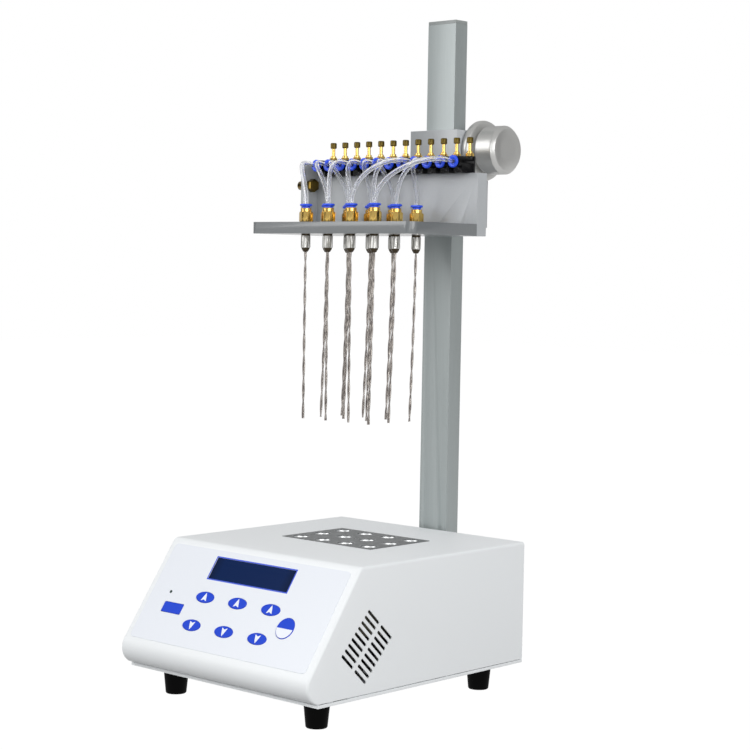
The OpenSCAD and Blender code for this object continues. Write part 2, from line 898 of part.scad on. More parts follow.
// a key's cap and its flange behind the panel, about its own middle
module key_solid() {
    top = overlay_t + key_proud;
    translate([0, 0, key_foot + key_flange_t - e])
        linear_extrude(top - key_foot - key_flange_t + e)
            children(0);
    translate([0, 0, key_foot])
        linear_extrude(key_flange_t)
            children(1);
}

module oval_key(col, s) {
    color(key_blue)
        on_slope()
            translate([col * key_pitch_x, -s, 0])
                key_solid() {
                    oval(key_w, key_h);
                    oval(key_w + 2 * key_flange, key_h + 2 * key_flange);
                }
}

module program_key() {
    color(key_blue)
        on_slope()
            translate([long_key_pos[0], -long_key_pos[1], 0])
                key_solid() {
                    soft_rect(long_key_w, long_key_h, key_corner_r);
                    square([long_key_w + 2 * key_flange, long_key_h + 2 * key_flange], center = true);
                }
}

module start_stop_key() {
    color(key_blue)
        on_slope()
            translate([round_key_pos[0], -round_key_pos[1], 0])
                key_solid() {
                    circle(round_key_d / 2);
                    circle(round_key_d / 2 + key_flange);
                }
}

module run_lamp() {
    color("seagreen")
        on_slope()
            translate([-lamp_x, -lamp_s, -board_drop])
                cylinder(h = board_drop + overlay_t + 0.2, r = lamp_r);
}

// the drilled aluminium block that lifts out
module heating_block() {
    color("dimgray")
        from_rear()
            difference() {
                slab(block_w, -block_y - block_d / 2, -block_y + block_d / 2, block_z, block_top);
                at_wells(block_top - well_depth)
                    cylinder(h = well_depth + 1, r = well_d / 2);
                translate([0, -block_y, block_top - lift_hole_depth])
                    cylinder(h = lift_hole_depth + 1, r = lift_hole_r);
            }
}

// the cast seat that heats the block
module block_seat() {
    color(bare_metal)
        from_rear()
            difference() {
                slab(seat_w, -block_y - seat_d / 2, -block_y + seat_d / 2, seat_z, seat_top);
                slab(seat_in_w, -block_y - seat_in_d / 2, -block_y + seat_in_d / 2, block_z, seat_top + 1);
                translate([0, 0, probe_z])
                    rod_y(probe_r + hole_gap, -block_y - seat_d / 2 - 1, -block_y);
            }
}

module heater_plate() {
    w = seat_w - 2 * heater_margin;
    d = seat_d - 2 * heater_margin;
    color("peru")
        from_rear()
            slab(w, -block_y - d / 2, -block_y + d / 2, heater_z, seat_z);
}

// an open box of insulation round the seat and the heater
module insulation_jacket() {
    w = seat_w - 2 * heater_margin;
    d = seat_d - 2 * heater_margin;
    color("ivory")
        from_rear()
            difference() {
                slab(jacket_w, -block_y - jacket_d / 2, -block_y + jacket_d / 2, jacket_z, jacket_top);
                slab(seat_w, -block_y - seat_d / 2, -block_y + seat_d / 2, seat_z, jacket_top + 1);
                slab(w, -block_y - d / 2, -block_y + d / 2, heater_z, seat_z + 1);
                translate([0, 0, probe_z])
                    rod_y(probe_r + hole_gap, -block_y - jacket_d / 2 - 1, -block_y);
            }
}

module temperature_probe() {
    color("lightsteelblue")
        from_rear()
            translate([0, 0, probe_z])
                rod_y(probe_r, -block_y - probe_l, -block_y);
}

// mains supply on its own board: transformer, capacitor, relay and a cooling fin row
module power_board() {
    color("darkolivegreen")
        from_rear()
            translate([0, -power_y, tray_top + power_post]) {
                difference() {
                    translate([-power_w / 2, -power_d / 2, 0])
                        cube([power_w, power_d, board_t]);
                    for (x = [-1, 1], y = [-1, 1])
                        translate([x * power_hole_x, y * power_hole_y, -1])
                            cylinder(h = board_t + 2, r = small_screw_r + hole_gap);
                }
                for (box = [transformer, relay])
                    translate([box[0][0], box[0][1], board_t - e])
                        cube(box[1]);
                translate([capacitor_at[0], capacitor_at[1], board_t - e])
                    cylinder(h = capacitor_h, r = capacitor_r);
                for (i = [0:fin_count - 1])
                    translate([fin_at[0], fin_at[1] + i * fin_pitch, board_t - e])
                        cube(fin_size);
            }
}

// the appliance inlet: a recess with three blades
module mains_inlet() {
    floor_y = -socket_depth;
    color(black_plastic)
        from_rear()
            translate([-inlet_x, 0, rear_z]) {
                difference() {
                    union() {
                        slab(inlet_w, 0, rear_flange_t, -inlet_h / 2, inlet_h / 2);
                        slab(socket_body_w, floor_y - inlet_wall, e, -socket_body_h / 2, socket_body_h / 2);
                    }
                    slab(socket_w, floor_y, rear_flange_t + 1, -socket_h / 2, socket_h / 2);
                }
                for (p = blade_at)
                    translate([p[0], 0, p[1]])
                        slab(blade_w, floor_y - e, floor_y + blade_l, -blade_h / 2, blade_h / 2);
            }
}

module switch_frame() {
    color(black_plastic)
        from_rear()
            translate([switch_x, 0, rear_z])
                difference() {
                    union() {
                        slab(
                            switch_body_w + 2 * switch_flange, 0, rear_flange_t,
                            -switch_body_h / 2 - switch_flange, switch_body_h / 2 + switch_flange
                        );
                        slab(
                            switch_body_w, -switch_depth - inlet_wall, e,
                            -switch_body_h / 2, switch_body_h / 2
                        );
                    }
                    slab(switch_in_w, -switch_depth, rear_flange_t + 1, -switch_in_h / 2, switch_in_h / 2);
                }
}

// the rocker tips about a pin along X and rests with its top pressed in
module power_rocker() {
    reach = rear_flange_t - rocker_y + 1;
    color(black_plastic)
        from_rear()
            translate([switch_x, rocker_y, rear_z])
                rotate([rocker_swing / 2, 0, 0])
                    across(rocker_w) {
                        polygon([
                            [0, -rocker_half], [reach + 1.4, -rocker_half + 0.8],
                            [reach, 0],
                            [reach + 1.4, rocker_half - 0.8], [0, rocker_half]
                        ]);
                        intersection() {
                            circle(rocker_half);
                            translate([-rocker_half, -rocker_half])
                                square([rocker_half + e, 2 * rocker_half]);
                        }
                    }
}

module rubber_feet() {
    color(black_plastic)
        from_rear()
            for (x = [-foot_x, foot_x], y = foot_ys)
                translate([x, y, 0])
                    difference() {
                        cylinder(h = foot_h, r1 = foot_low_r, r2 = foot_top_r);
                        translate([0, 0, -1])
                            cylinder(h = foot_recess + 1, r = small_head_r + 0.8);
                        cylinder(h = foot_h + 1, r = small_screw_r + hole_gap);
                    }
}

// a pan head screw along +Z with its head's inner face at z = 0
module pan_screw(l) {
    translate([0, 0, -e])
        cylinder(h = l + e, r = small_screw_r);
    translate([0, 0, -small_head_h])
        cylinder(h = small_head_h, r = small_head_r);
}

// the screws of the cover, the feet and both boards
module housing_screws() {
    foot_screw_l = foot_h - foot_recess + plate_t + 3;
    color(bare_metal) {
        from_rear() {
            for (x = [-1, 1], y = foot_ys) {
                translate([x * cover_screw_x, y, foot_h])
                    pan_screw(cover_screw_l);
                translate([x * foot_x, y, foot_recess])
                    pan_screw(foot_screw_l);
            }
            for (x = [-1, 1], y = [-1, 1])
                translate([x * power_hole_x, -power_y + y * power_hole_y, tray_top + power_post + board_t])
                    rotate([180, 0, 0])
                        pan_screw(board_t + 5);
        }
        on_slope()
            for (x = [-stud_x, stud_x], s = [stud_s0, stud_s1])
                translate([x, -s, -board_drop - board_t])
                    pan_screw(board_t + board_drop - sheet_t - 1.5);
    }
}

// the column's section: a tube with a channel for the rack in its rear face
module column_section() {
    inside = column_wall;
    difference() {
        translate([-column_w / 2, column_y0])
            square([column_w, column_d]);
        difference() {
            translate([-column_w / 2 + inside, column_y0 + inside])
                square([column_w - 2 * inside, column_d - 2 * inside]);
            translate([-channel_half - inside, column_y1 - channel_d - inside])
                square([2 * (channel_half + inside), channel_d + inside]);
        }
        translate([-channel_half, column_y1 - channel_d])
            square([2 * channel_half, channel_d + 1]);
    }
}

module column() {
    color(paint_grey)
        from_rear()
            difference() {
                translate([0, 0, column_foot])
                    linear_extrude(column_end - column_foot)
                        column_section();
                for (x = [-1, 1], z = [-1, 1])
                    translate([x * bolt_x / 2, 0, bolt_mid_z + z * bolt_z / 2])
                        rod_y(bolt_r + hole_gap, column_y0 - 1, column_y0 + column_wall + 1);
            }
}

module column_cap() {
    plug = 5;
    play = 0.2;
    side_w = column_w / 2 - column_wall - channel_half - column_wall - 2 * play;
    color(paint_grey)
        from_rear() {
            slab(column_w, column_y0, column_y1, column_end, column_top);
            for (s = [-1, 1])
                translate([s * (column_w / 2 - column_wall - play - side_w / 2), 0, 0])
                    slab(
                        side_w, column_y0 + column_wall + play, column_y1 - column_wall - play,
                        column_end - plug, column_end + e
                    );
        }
}

// the block between the housing's rear and the column
module column_bracket() {
    color(paint_grey)
        from_rear()
            difference() {
                slab(bracket_w, 0, bracket_t, bracket_z, bracket_z + bracket_h);
                for (x = [-1, 1], z = [-1, 1])
                    translate([x * bolt_x / 2, 0, bolt_mid_z + z * bolt_z / 2])
                        rod_y(bolt_r + hole_gap, -1, bracket_t + 1);
            }
}

module column_bolts() {
    color(bare_metal)
        from_rear()
            for (x = [-1, 1], z = [-1, 1])
                translate([x * bolt_x / 2, 0, bolt_mid_z + z * bolt_z / 2]) {
                    rod_y(bolt_r, -sheet_t - e, column_y0 + column_wall + 1);
                    rod_y(bolt_r * 1.7, -sheet_t - bolt_r * 2, -sheet_t);
                }
}

// straight teeth that face +Y, with a gap level with the pinion's axis at rest
module rack_outline() {
    half_tip = tooth_pitch / 4 - addendum * tan(pressure_angle);
    half_root = tooth_pitch / 4 + dedendum * tan(pressure_angle);
    root_y = rack_line_y - dedendum;
    floor_y = column_y1 - channel_d;
    low = -rack_below * tooth_pitch;
    high = rack_above * tooth_pitch;
    polygon(concat(
        [[floor_y, high], [floor_y, low], [root_y, low]],
        [for (i = [-rack_below:rack_above - 1], p = [
            [root_y, -half_root], [rack_tip_y, -half_tip],
            [rack_tip_y, half_tip], [root_y, half_root]
        ]) [p[0], (i + 0.5) * tooth_pitch + p[1]]],
        [[root_y, high]]
    ));
}

module rack() {
    color("lightgray")
        from_rear()
            translate([0, 0, pinion_z])
                across(rack_w)
                    rack_outline();
}

// a point of an involute that leaves the base circle br, at roll angle a
function involute(br, a) = [
    br * (cos(a) + a * PI / 180 * sin(a)),
    br * (sin(a) - a * PI / 180 * cos(a))
];
function turned(p, a) = [p[0] * cos(a) - p[1] * sin(a), p[0] * sin(a) + p[1] * cos(a)];
function roll_at(br, r) = r > br ? sqrt(pow(r / br, 2) - 1) * 180 / PI : 0;

// the pinion's outline, one tooth along its first axis
module pinion_outline() {
    base_r = pitch_r * cos(pressure_angle);
    root_r = pitch_r - dedendum;
    at_pitch = involute(base_r, roll_at(base_r, pitch_r));
    half_tooth = 90 / pinion_teeth - tooth_play / pitch_r * 90 / PI;
    shift = half_tooth + atan2(at_pitch[1], at_pitch[0]);
    roll_end = roll_at(base_r, pinion_tip_r);
    steps = 4;
    flank = [for (k = [0:steps]) turned(involute(base_r, roll_end * k / steps), -shift)];
    root = turned([root_r, 0], -shift);
    polygon([for (t = [0:pinion_teeth - 1], p = concat(
        [root], flank,
        [for (k = [steps:-1:0]) [flank[k][0], -flank[k][1]]], [[root[0], -root[1]]]
    )) turned(p, t * 360 / pinion_teeth)]);
}

// the shaft and its pinion are cut from one bar
module pinion_shaft() {
    pinion_w = rack_w - 1;
    color(bare_metal)
        from_rear()
            translate([0, pinion_y, pinion_z]) {
                rod_x(shaft_r, -carriage_w / 2 + 1, shaft_end);
                rotate([180, 0, 0])
                    across(pinion_w)
                        pinion_outline();
            }
}

module shaft_bushes() {
    color("tan")
        from_rear()
            translate([0, pinion_y, pinion_z])
                difference() {
                    union() {
                        rod_x(big_bush_r, big_bush_x, carriage_w / 2);
                        rod_x(small_bush_r, -carriage_w / 2, -pocket_w / 2);
                    }
                    rod_x(shaft_r + shaft_gap, -carriage_w, carriage_w);
                }
}

// the block that slides on the column and holds the pinion
module carriage() {
    slot_w = column_w + 2 * slide_gap;
    color(paint_grey)
        from_rear()
            difference() {
                slab(carriage_w, carriage_y0, carriage_y1, carriage_z, carriage_top);
                slab(slot_w, column_y0 - slide_gap, column_y1 + slide_gap, carriage_z - 1, carriage_top + 1);
                translate([0, pinion_y, pinion_z]) {
                    rod_x(pocket_r, -pocket_w / 2, big_bush_x);
                    rod_x(big_bush_r, big_bush_x - 1, carriage_w / 2 + 1);
                    rod_x(small_bush_r, -carriage_w / 2 - 1, -pocket_w / 2 + 1);
                }
                for (x = [-1, 1], z = arm_holes)
                    translate([x * arm_rear_x, carriage_y0, arm_z + z * arm_h])
                        rod_y(screw_r + hole_gap, -1, carriage_front - 1);
            }
}

// the turned knob, drawn as half a section about its own axis
module knob() {
    grip_x = knob_l - knob_grip_l;
    soft = 2;
    color("gainsboro")
        from_rear()
            translate([knob_x, pinion_y, pinion_z])
                difference() {
                    rotate([0, 90, 0])
                        rotate_extrude($fn = 96)
                            polygon([
                                [shaft_r + shaft_gap, 0],
                                [knob_flange_r - soft, 0],
                                [knob_flange_r - 0.6, 0.6],
                                [knob_flange_r, soft],
                                [knob_flange_r, knob_flange_t - soft],
                                [knob_flange_r - 0.6, knob_flange_t - 0.6],
                                [knob_flange_r - soft, knob_flange_t],
                                [knob_waist_r, knob_flange_t + 0.8],
                                [knob_waist_r, grip_x - 2],
                                [knob_grip_r, grip_x],
                                [knob_grip_r, knob_l - knob_chamfer],
                                [knob_face_r, knob_l],
                                [0, knob_l],
                                [0, shaft_end - knob_x + 0.5],
                                [shaft_r + shaft_gap, shaft_end - knob_x + 0.5]
                            ]);
                    translate([set_screw_x - knob_x, 0, 0])
                        rotate([set_screw_angle, 0, 0])
                            cylinder(h = knob_flange_r, r = set_screw_r + hole_gap / 3);
                }
}

module knob_set_screw() {
    color("gray")
        from_rear()
            translate([set_screw_x, pinion_y, pinion_z])
                rotate([set_screw_angle, 0, 0])
                    translate([0, 0, shaft_r])
                        cylinder(h = knob_waist_r - shaft_r - 1, r = set_screw_r);
}

// the arm that holds the gas head in front of the carriage: two flanges and a web
module head_arm() {
    y0 = -chamber_rear;
    y1 = carriage_y0;
    color(paint_grey)
        from_rear()
            difference() {
                union() {
                    slab(arm_front_w, y0, y0 + arm_flange, arm_z, arm_z + arm_h);
                    slab(arm_web, y0, y1, arm_z, arm_z + arm_h);
                    slab(carriage_w, y1 - arm_flange, y1, arm_z, arm_z + arm_h);
                }
                for (x = [-1, 1], z = arm_holes) {
                    translate([x * arm_rear_x, y1, arm_z + z * arm_h])
                        rod_y(screw_r + hole_gap, -arm_flange - 1, 1);
                    translate([x * arm_front_x, y0, arm_z + z * arm_h])
                        rod_y(screw_r + hole_gap, -1, arm_flange + 1);
                }
            }
}

// a cap screw along +Y with its head's inner face at y = 0
module cap_screw(l) {
    rod_y(screw_r, -e, l);
    rod_y(screw_cap_r, -screw_cap_h, 0);
}

module head_screws() {
    color(bare_metal)
        from_rear() {
            for (x = [-1, 1], z = arm_holes) {
                translate([x * arm_rear_x, carriage_y0 - arm_flange, arm_z + z * arm_h])
                    cap_screw(screw_l);
                translate([x * arm_front_x, -chamber_rear + arm_flange, arm_z + z * arm_h])
                    mirror([0, 1, 0])
                        cap_screw(screw_l);
            }
            for (x = head_hole_x)
                translate([x * head_w, -chamber_rear, head_z + needle_plate_t / 2])
                    mirror([0, 1, 0])
                        cap_screw(chamber_t + 6);
            for (z = end_holes)
                translate([-head_w / 2 - inlet_plate_t, valve_y, head_z + z])
                    rotate([0, 0, -90])
                        cap_screw(screw_l);
        }
}

// the drilled bar that shares the gas between the valves
module gas_chamber() {
    color(paint_grey)
        from_rear()
            difference() {
                slab(head_w, -chamber_front, -chamber_rear, head_z, chamber_top);
                translate([0, valve_y, gallery_z])
                    rod_x(gallery_r, -head_w / 2 - 1, head_w / 2 - gallery_end);
                at_valves(gallery_z)
                    cylinder(h = gallery_drop + 1, r = valve_thread_r + hole_gap);
                for (x = [-1, 1], z = arm_holes)
                    translate([x * arm_front_x, -chamber_rear, arm_z + z * arm_h])
                        rod_y(screw_r + hole_gap, arm_flange - screw_l - 0.5, 1);
                for (x = head_hole_x)
                    translate([x * head_w, 0, head_z + needle_plate_t / 2])
                        rod_y(screw_r + hole_gap, -chamber_front - 1, -chamber_rear + 1);
                for (z = end_holes)
                    translate([0, valve_y, head_z + z])
                        rod_x(screw_r + hole_gap, -head_w / 2 - 1, -head_w / 2 + screw_l);
            }
}

// the plate on the chamber's left end, with the gas inlet in its front part
module inlet_plate() {
    y0 = -chamber_front - inlet_plate_reach;
    z1 = chamber_top + inlet_plate_rise;
    color(paint_grey)
        from_rear()
            difference() {
                across(inlet_plate_t, plate_mid_x) {
                    translate([y0 + inlet_plate_r, head_z])
                        square([-chamber_rear - y0 - 2 * inlet_plate_r, z1 - head_z]);
                    translate([y0, head_z])
                        square([-chamber_rear - y0, z1 - head_z - inlet_plate_r]);
                    for (y = [y0 + inlet_plate_r, -chamber_rear - inlet_plate_r])
                        translate([y, z1 - inlet_plate_r])
                            circle(inlet_plate_r);
                }
                translate([0, gland_y, gallery_z])
                    rod_x(shank_r + hole_gap, -head_w, 0);
                translate([plate_mid_x, 0, gallery_z])
                    rod_y(passage_r, gland_y, valve_y);
                translate([0, valve_y, gallery_z])
                    rod_x(passage_r, plate_mid_x, 0);
                for (z = end_holes)
                    translate([0, valve_y, head_z + z])
                        rod_x(screw_r + hole_gap, -head_w, 0);
            }
}

// the brass bulkhead fitting: a hose spigot, a shank with a cross hole and a nut
module gas_inlet() {
    x0 = -head_w / 2;
    plate_x = x0 - inlet_plate_t;
    color(brass_gold)
        from_rear()
            translate([0, gland_y, gallery_z])
                difference() {
                    union() {
                        rod_x(spigot_r, plate_x - spigot_l, plate_x + e);
                        rod_x(shank_r, plate_x, x0 + e);
                        translate([x0, 0, 0])
                            rotate([0, 90, 0])
                                cylinder(h = gland_t, r = gland_r, $fn = 6);
                    }
                    rod_x(spigot_r - 1.4, plate_x - spigot_l - 1, x0 - 0.5);
                    translate([plate_mid_x, 0, 0])
                        rod_y(passage_r, 0, shank_r + 1);
                }
}

// the plate that holds the needle fittings
module needle_plate() {
    color(paint_grey)
        from_rear()
            difference() {
                translate([0, 0, head_z])
                    linear_extrude(needle_plate_t) {
                        translate([-head_w / 2, -head_front + head_corner_r])
                            square([head_w, head_front - chamber_front - head_corner_r]);
                        translate([-head_w / 2 + head_corner_r, -head_front])
                            square([head_w - 2 * head_corner_r, 2 * head_corner_r]);
                        for (s = [-1, 1])
                            translate([s * (head_w / 2 - head_corner_r), -head_front + head_corner_r])
                                circle(head_corner_r);
                    }
                at_wells(head_z - 1)
                    cylinder(h = needle_plate_t + 2, r = thread_r + hole_gap);
                for (x = head_hole_x)
                    translate([x * head_w, 0, head_z + needle_plate_t / 2])
                        rod_y(screw_r + hole_gap, -chamber_front - 6.5, -chamber_front + 1);
            }
}

// angle valves: an upright body on the chamber and an outlet to the front
module valve_bodies() {
    color(black_plastic)
        from_rear()
            at_valves(chamber_top)
                difference() {
                    union() {
                        cylinder(h = valve_h, r = valve_r);
                        translate([0, 0, -valve_thread_l])
                            cylinder(h = valve_thread_l + e, r = valve_thread_r);
                        translate([0, 0, outlet_z])
                            rod_y(outlet_r, -outlet_l, 0);
                        translate([-valve_r + 0.4, -outlet_l + 4, 0])
                            cube([2 * valve_r - 0.8, outlet_l - 4, outlet_z]);
                    }
                    translate([0, 0, valve_h - stem_guide])
                        cylinder(h = stem_guide + 1, r = stem_r + shaft_gap);
                }
}

// release collars of the push-in ports, on the valves and on the needle fittings
module push_in_collars() {
    color(key_blue)
        from_rear() {
            at_valves(outlet_mid_z)
                difference() {
                    rod_y(collar_r, -outlet_l - collar_l, -outlet_l);
                    rod_y(collar_hole_r, -outlet_l - collar_l - 1, -outlet_l + 1);
                }
            at_wells(plate_top + hex_h)
                difference() {
                    cylinder(h = collar_l, r = collar_r);
                    translate([0, 0, -1])
                        cylinder(h = collar_l + 2, r = collar_hole_r);
                }
        }
}

module valve_nuts() {
    color(brass_gold)
        from_rear()
            at_valves(valve_top)
                difference() {
                    union() {
                        cylinder(h = nut_hex_h, r = valve_nut_r, $fn = 6);
                        cylinder(h = valve_nut_h, r = nut_neck_r);
                    }
                    translate([0, 0, -1])
                        cylinder(h = valve_nut_h + 2, r = stem_r + shaft_gap);
                }
}

// one adjusting screw: a stem into the valve and a knurled head
module valve_screw(i) {
    head = valve_nut_h + stem_l;
    color(brass_gold)
        from_rear()
            translate([valve_x(i), valve_y, valve_top]) {
                translate([0, 0, -stem_dip])
                    cylinder(h = head + stem_dip + e, r = stem_r);
                translate([0, 0, head])
                    cylinder(h = screw_head_h, r = screw_head_r);
            }
}

module needle_fittings() {
    color(brass_gold)
        from_rear()
            at_wells(head_z) {
                cylinder(h = needle_plate_t + e, r = thread_r);
                translate([0, 0, needle_plate_t])
                    cylinder(h = hex_h, r = hex_af / 2 / cos(30), $fn = 6);
            }
}

// the collet that grips each needle under the plate
module needle_chucks() {
    color("lightgray")
        from_rear()
            at_wells(chuck_z) {
                cylinder(h = chuck_h, r = chuck_r);
                translate([0, 0, -cone_h])
                    cylinder(h = cone_h + e, r1 = needle_r + 0.5, r2 = chuck_r * 0.8);
            }
}

module needles() {
    color("gainsboro")
        from_rear()
            at_wells(needle_top - needle_l)
                difference() {
                    cylinder(h = needle_l, r = needle_r, $fn = 24);
                    translate([0, 0, -1])
                        cylinder(h = needle_l, r = needle_bore, $fn = 16);
                }
}

// each gas tube leaves its valve forwards, arches over and drops into its fitting
tube_sides = 8;
tube_steps = 16;
function bezier(a, b, c, d, t) = pow(1 - t, 3) * a + 3 * pow(1 - t, 2) * t * b
    + 3 * (1 - t) * t * t * c + t * t * t * d;
function tube_route(from, to) = concat(
    [from],
    [for (k = [0:tube_steps]) bezier(
        from - [0, collar_l + 0.5, 0],
        from - [0, collar_l + tube_throw, -tube_rise],
        to + [0, 0, collar_l + tube_pull],
        to + [0, 0, collar_l + 0.5],
        k / tube_steps
    )],
    [to]
);
function unit(v) = v / norm(v);
function way(p, k) = unit(p[min(k + 1, len(p) - 1)] - p[max(k - 1, 0)]);
// a ring of points square to the route, with its first point kept level
function tube_ring(p, k, flat) = let(
    w = way(p, k),
    s = unit(cross(w, flat)),
    u = cross(s, w)
) [for (a = [0:tube_sides - 1])
    p[k] + tube_r * (cos(a * 360 / tube_sides) * s + sin(a * 360 / tube_sides) * u)];

module sweep_tube(p) {
    n = len(p);
    flat = [1, 0, 0];
    points = [for (k = [0:n - 1], q = tube_ring(p, k, flat)) q];
    walls = [for (k = [0:n - 2], a = [0:tube_sides - 1], half = [0, 1])
        let(
            b = (a + 1) % tube_sides,
            low = k * tube_sides,
            up = low + tube_sides
        ) half == 0 ? [low + a, up + a, up + b] : [low + a, up + b, low + b]];
    first = [for (a = [0:tube_sides - 1]) a];
    last = [for (a = [tube_sides - 1:-1:0]) (n - 1) * tube_sides + a];
    polyhedron(points, concat(walls, [first, last]));
}

// the valves of a column of needles run from its front row to its rear row on
// the left half, and the other way round on the right half
module gas_tubes() {
    color("aliceblue")
        from_rear()
            for (i = [0:well_nx - 1], j = [0:well_ny - 1]) {
                near = i < well_nx / 2 ? j : well_ny - 1 - j;
                valve = i * well_ny + near;
                if (valve < valve_count)
                    sweep_tube(tube_route(
                        [valve_x(valve), outlet_end, outlet_mid_z],
                        [well_x(i), well_y(j), plate_top + hex_h]
                    ));
            }
}

top_cover();
chassis_tray();
front_overlay();
display_module();
control_board();
program_key();
start_stop_key();
oval_key(-1, key_up_s);  // number_up_key
oval_key(-1, key_down_s);  // number_down_key
oval_key(0, key_up_s);  // temperature_up_key
oval_key(0, key_down_s);  // temperature_down_key
oval_key(1, key_up_s);  // time_up_key
oval_key(1, key_down_s);  // time_down_key
run_lamp();
heating_block();
block_seat();
heater_plate();
insulation_jacket();
temperature_probe();
power_board();
mains_inlet();
switch_frame();
power_rocker();
rubber_feet();
housing_screws();
column();
column_cap();
column_bracket();
column_bolts();
rack();
carriage();
shaft_bushes();
pinion_shaft();
knob();
knob_set_screw();
head_arm();
head_screws();
gas_chamber();
inlet_plate();
gas_inlet();
needle_plate();
valve_bodies();
push_in_collars();
valve_nuts();
valve_screw(0);  // valve_screw_01
valve_screw(1);  // valve_screw_02
valve_screw(2);  // valve_screw_03
valve_screw(3);  // valve_screw_04
valve_screw(4);  // valve_screw_05
valve_screw(5);  // valve_screw_06
valve_screw(6);  // valve_screw_07
valve_screw(7);  // valve_screw_08
valve_screw(8);  // valve_screw_09
valve_screw(9);  // valve_screw_10
valve_screw(10);  // valve_screw_11
valve_screw(11);  // valve_screw_12
needle_fittings();
needle_chucks();
needles();
gas_tubes();
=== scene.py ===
"""Nitrogen sample evaporator: the looks of each piece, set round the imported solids. Metres, +Z up."""
import json
import math

import bmesh
import bpy
import numpy as np
from mathutils import Matrix, Vector

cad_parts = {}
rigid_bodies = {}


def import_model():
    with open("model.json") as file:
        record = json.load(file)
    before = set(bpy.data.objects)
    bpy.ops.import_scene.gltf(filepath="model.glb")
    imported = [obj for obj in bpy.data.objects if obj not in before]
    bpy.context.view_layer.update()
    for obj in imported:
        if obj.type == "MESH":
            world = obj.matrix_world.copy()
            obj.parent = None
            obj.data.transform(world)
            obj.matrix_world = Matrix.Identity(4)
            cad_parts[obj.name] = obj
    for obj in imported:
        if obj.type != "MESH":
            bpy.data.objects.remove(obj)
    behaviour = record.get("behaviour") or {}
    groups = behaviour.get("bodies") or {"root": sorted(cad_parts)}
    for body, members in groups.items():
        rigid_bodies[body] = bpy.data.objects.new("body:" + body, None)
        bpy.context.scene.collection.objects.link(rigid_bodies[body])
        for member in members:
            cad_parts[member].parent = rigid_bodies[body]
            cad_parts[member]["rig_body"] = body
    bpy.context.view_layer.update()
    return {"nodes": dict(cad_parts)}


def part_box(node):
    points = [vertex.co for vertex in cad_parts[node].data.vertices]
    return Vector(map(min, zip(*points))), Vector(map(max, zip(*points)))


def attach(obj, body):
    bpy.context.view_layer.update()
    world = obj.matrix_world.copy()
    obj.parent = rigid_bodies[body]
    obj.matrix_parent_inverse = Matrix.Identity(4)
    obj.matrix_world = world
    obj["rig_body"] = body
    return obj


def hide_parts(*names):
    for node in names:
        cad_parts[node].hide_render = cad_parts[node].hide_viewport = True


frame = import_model()
mm = 0.001

# The view: a long lens from the front right, a little above the housing, as in the photograph.
# Angles and distances come from a fit to the edges of the housing, the plates and the column.
rear_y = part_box("column_bracket")[0].y
bench_z = 0.0
turn, lift, roll = math.radians(42.395), math.radians(3.265), math.radians(1.006)
eye = Vector((1098.44 * mm, -1277.89 * mm + rear_y, 362.1 * mm))
back = Vector((math.sin(turn) * math.cos(lift), -math.cos(turn) * math.cos(lift), math.sin(lift)))
level = Vector((math.cos(turn), math.sin(turn), 0))
upright = back.cross(level)
right = level * math.cos(roll) + upright * math.sin(roll)
above = upright * math.cos(roll) - level * math.sin(roll)
lens = bpy.data.cameras.new("camera")
lens.lens = 90.1
lens.sensor_width = 36
camera = bpy.data.objects.new("camera", lens)
bpy.context.scene.collection.objects.link(camera)
camera.matrix_world = Matrix((right, above, back)).transposed().to_4x4()
camera.location = eye
bpy.context.scene.camera = camera
bpy.context.scene.view_settings.view_transform = "Standard"

# The studio: a grey floor that shows white to the lens and keeps a faint shadow, a white surround,
# soft lamps at the front left and at the right, a narrow one by the lens for the edges, and dark
# cards out of view, which give the polished metal its dark lines.


def linear(code):
    """sRGB hex code to linear light: the inverse of the sRGB curve on each channel."""
    channels = np.array([int(code[i:i + 2], 16) for i in (0, 2, 4)]) / 255
    low, high = channels / 12.92, ((channels + 0.055) / 1.055) ** 2.4
    return (*np.where(channels <= 0.04045, low, high).tolist(), 1.0)


def add(tree, kind, sockets=None, **settings):
    """Adds one shader node, sets its properties, and fills its sockets with values or links."""
    made = tree.nodes.new("ShaderNode" + kind)
    for name, value in settings.items():
        setattr(made, name, value)
    for name, value in (sockets or {}).items():
        if isinstance(value, bpy.types.NodeSocket):
            tree.links.new(value, made.inputs[name])
        else:
            made.inputs[name].default_value = value
    return made


studio_white = linear("FFFFFF")
paper = bpy.data.materials.new("seamless_paper")
paper.use_nodes = True
tree = paper.node_tree
tree.nodes.clear()
diffuse = add(tree, "BsdfDiffuse", {"Color": linear("929292")})
glow = add(tree, "Emission", {"Color": studio_white, "Strength": 1.08})
seen = add(tree, "LightPath")
rays = [seen.outputs[f"Is {kind} Ray"] for kind in ("Camera", "Glossy", "Transmission")]
straight = add(tree, "Math", {0: rays[0], 1: rays[1]}, operation="MAXIMUM")
through = add(tree, "Math", {0: straight.outputs[0], 1: rays[2]}, operation="MAXIMUM")
glow_share = 0.93
share = add(tree, "Math", {0: through.outputs[0], 1: glow_share}, operation="MULTIPLY")
mixed = add(tree, "MixShader", {0: share.outputs[0], 1: diffuse.outputs[0], 2: glow.outputs[0]})
add(tree, "OutputMaterial", {"Surface": mixed.outputs[0]})
floor_half, floor_drop = 6.0, 0.2 * mm
floor_mesh = bpy.data.meshes.new("floor")
floor_corners = [(x * floor_half, y * floor_half, bench_z - floor_drop)
                 for x, y in ((-1, -1), (1, -1), (1, 1), (-1, 1))]
floor_mesh.from_pydata(floor_corners, [], [(0, 1, 2, 3)])
floor_mesh.materials.append(paper)
floor = bpy.data.objects.new("floor", floor_mesh)
bpy.context.scene.collection.objects.link(floor)

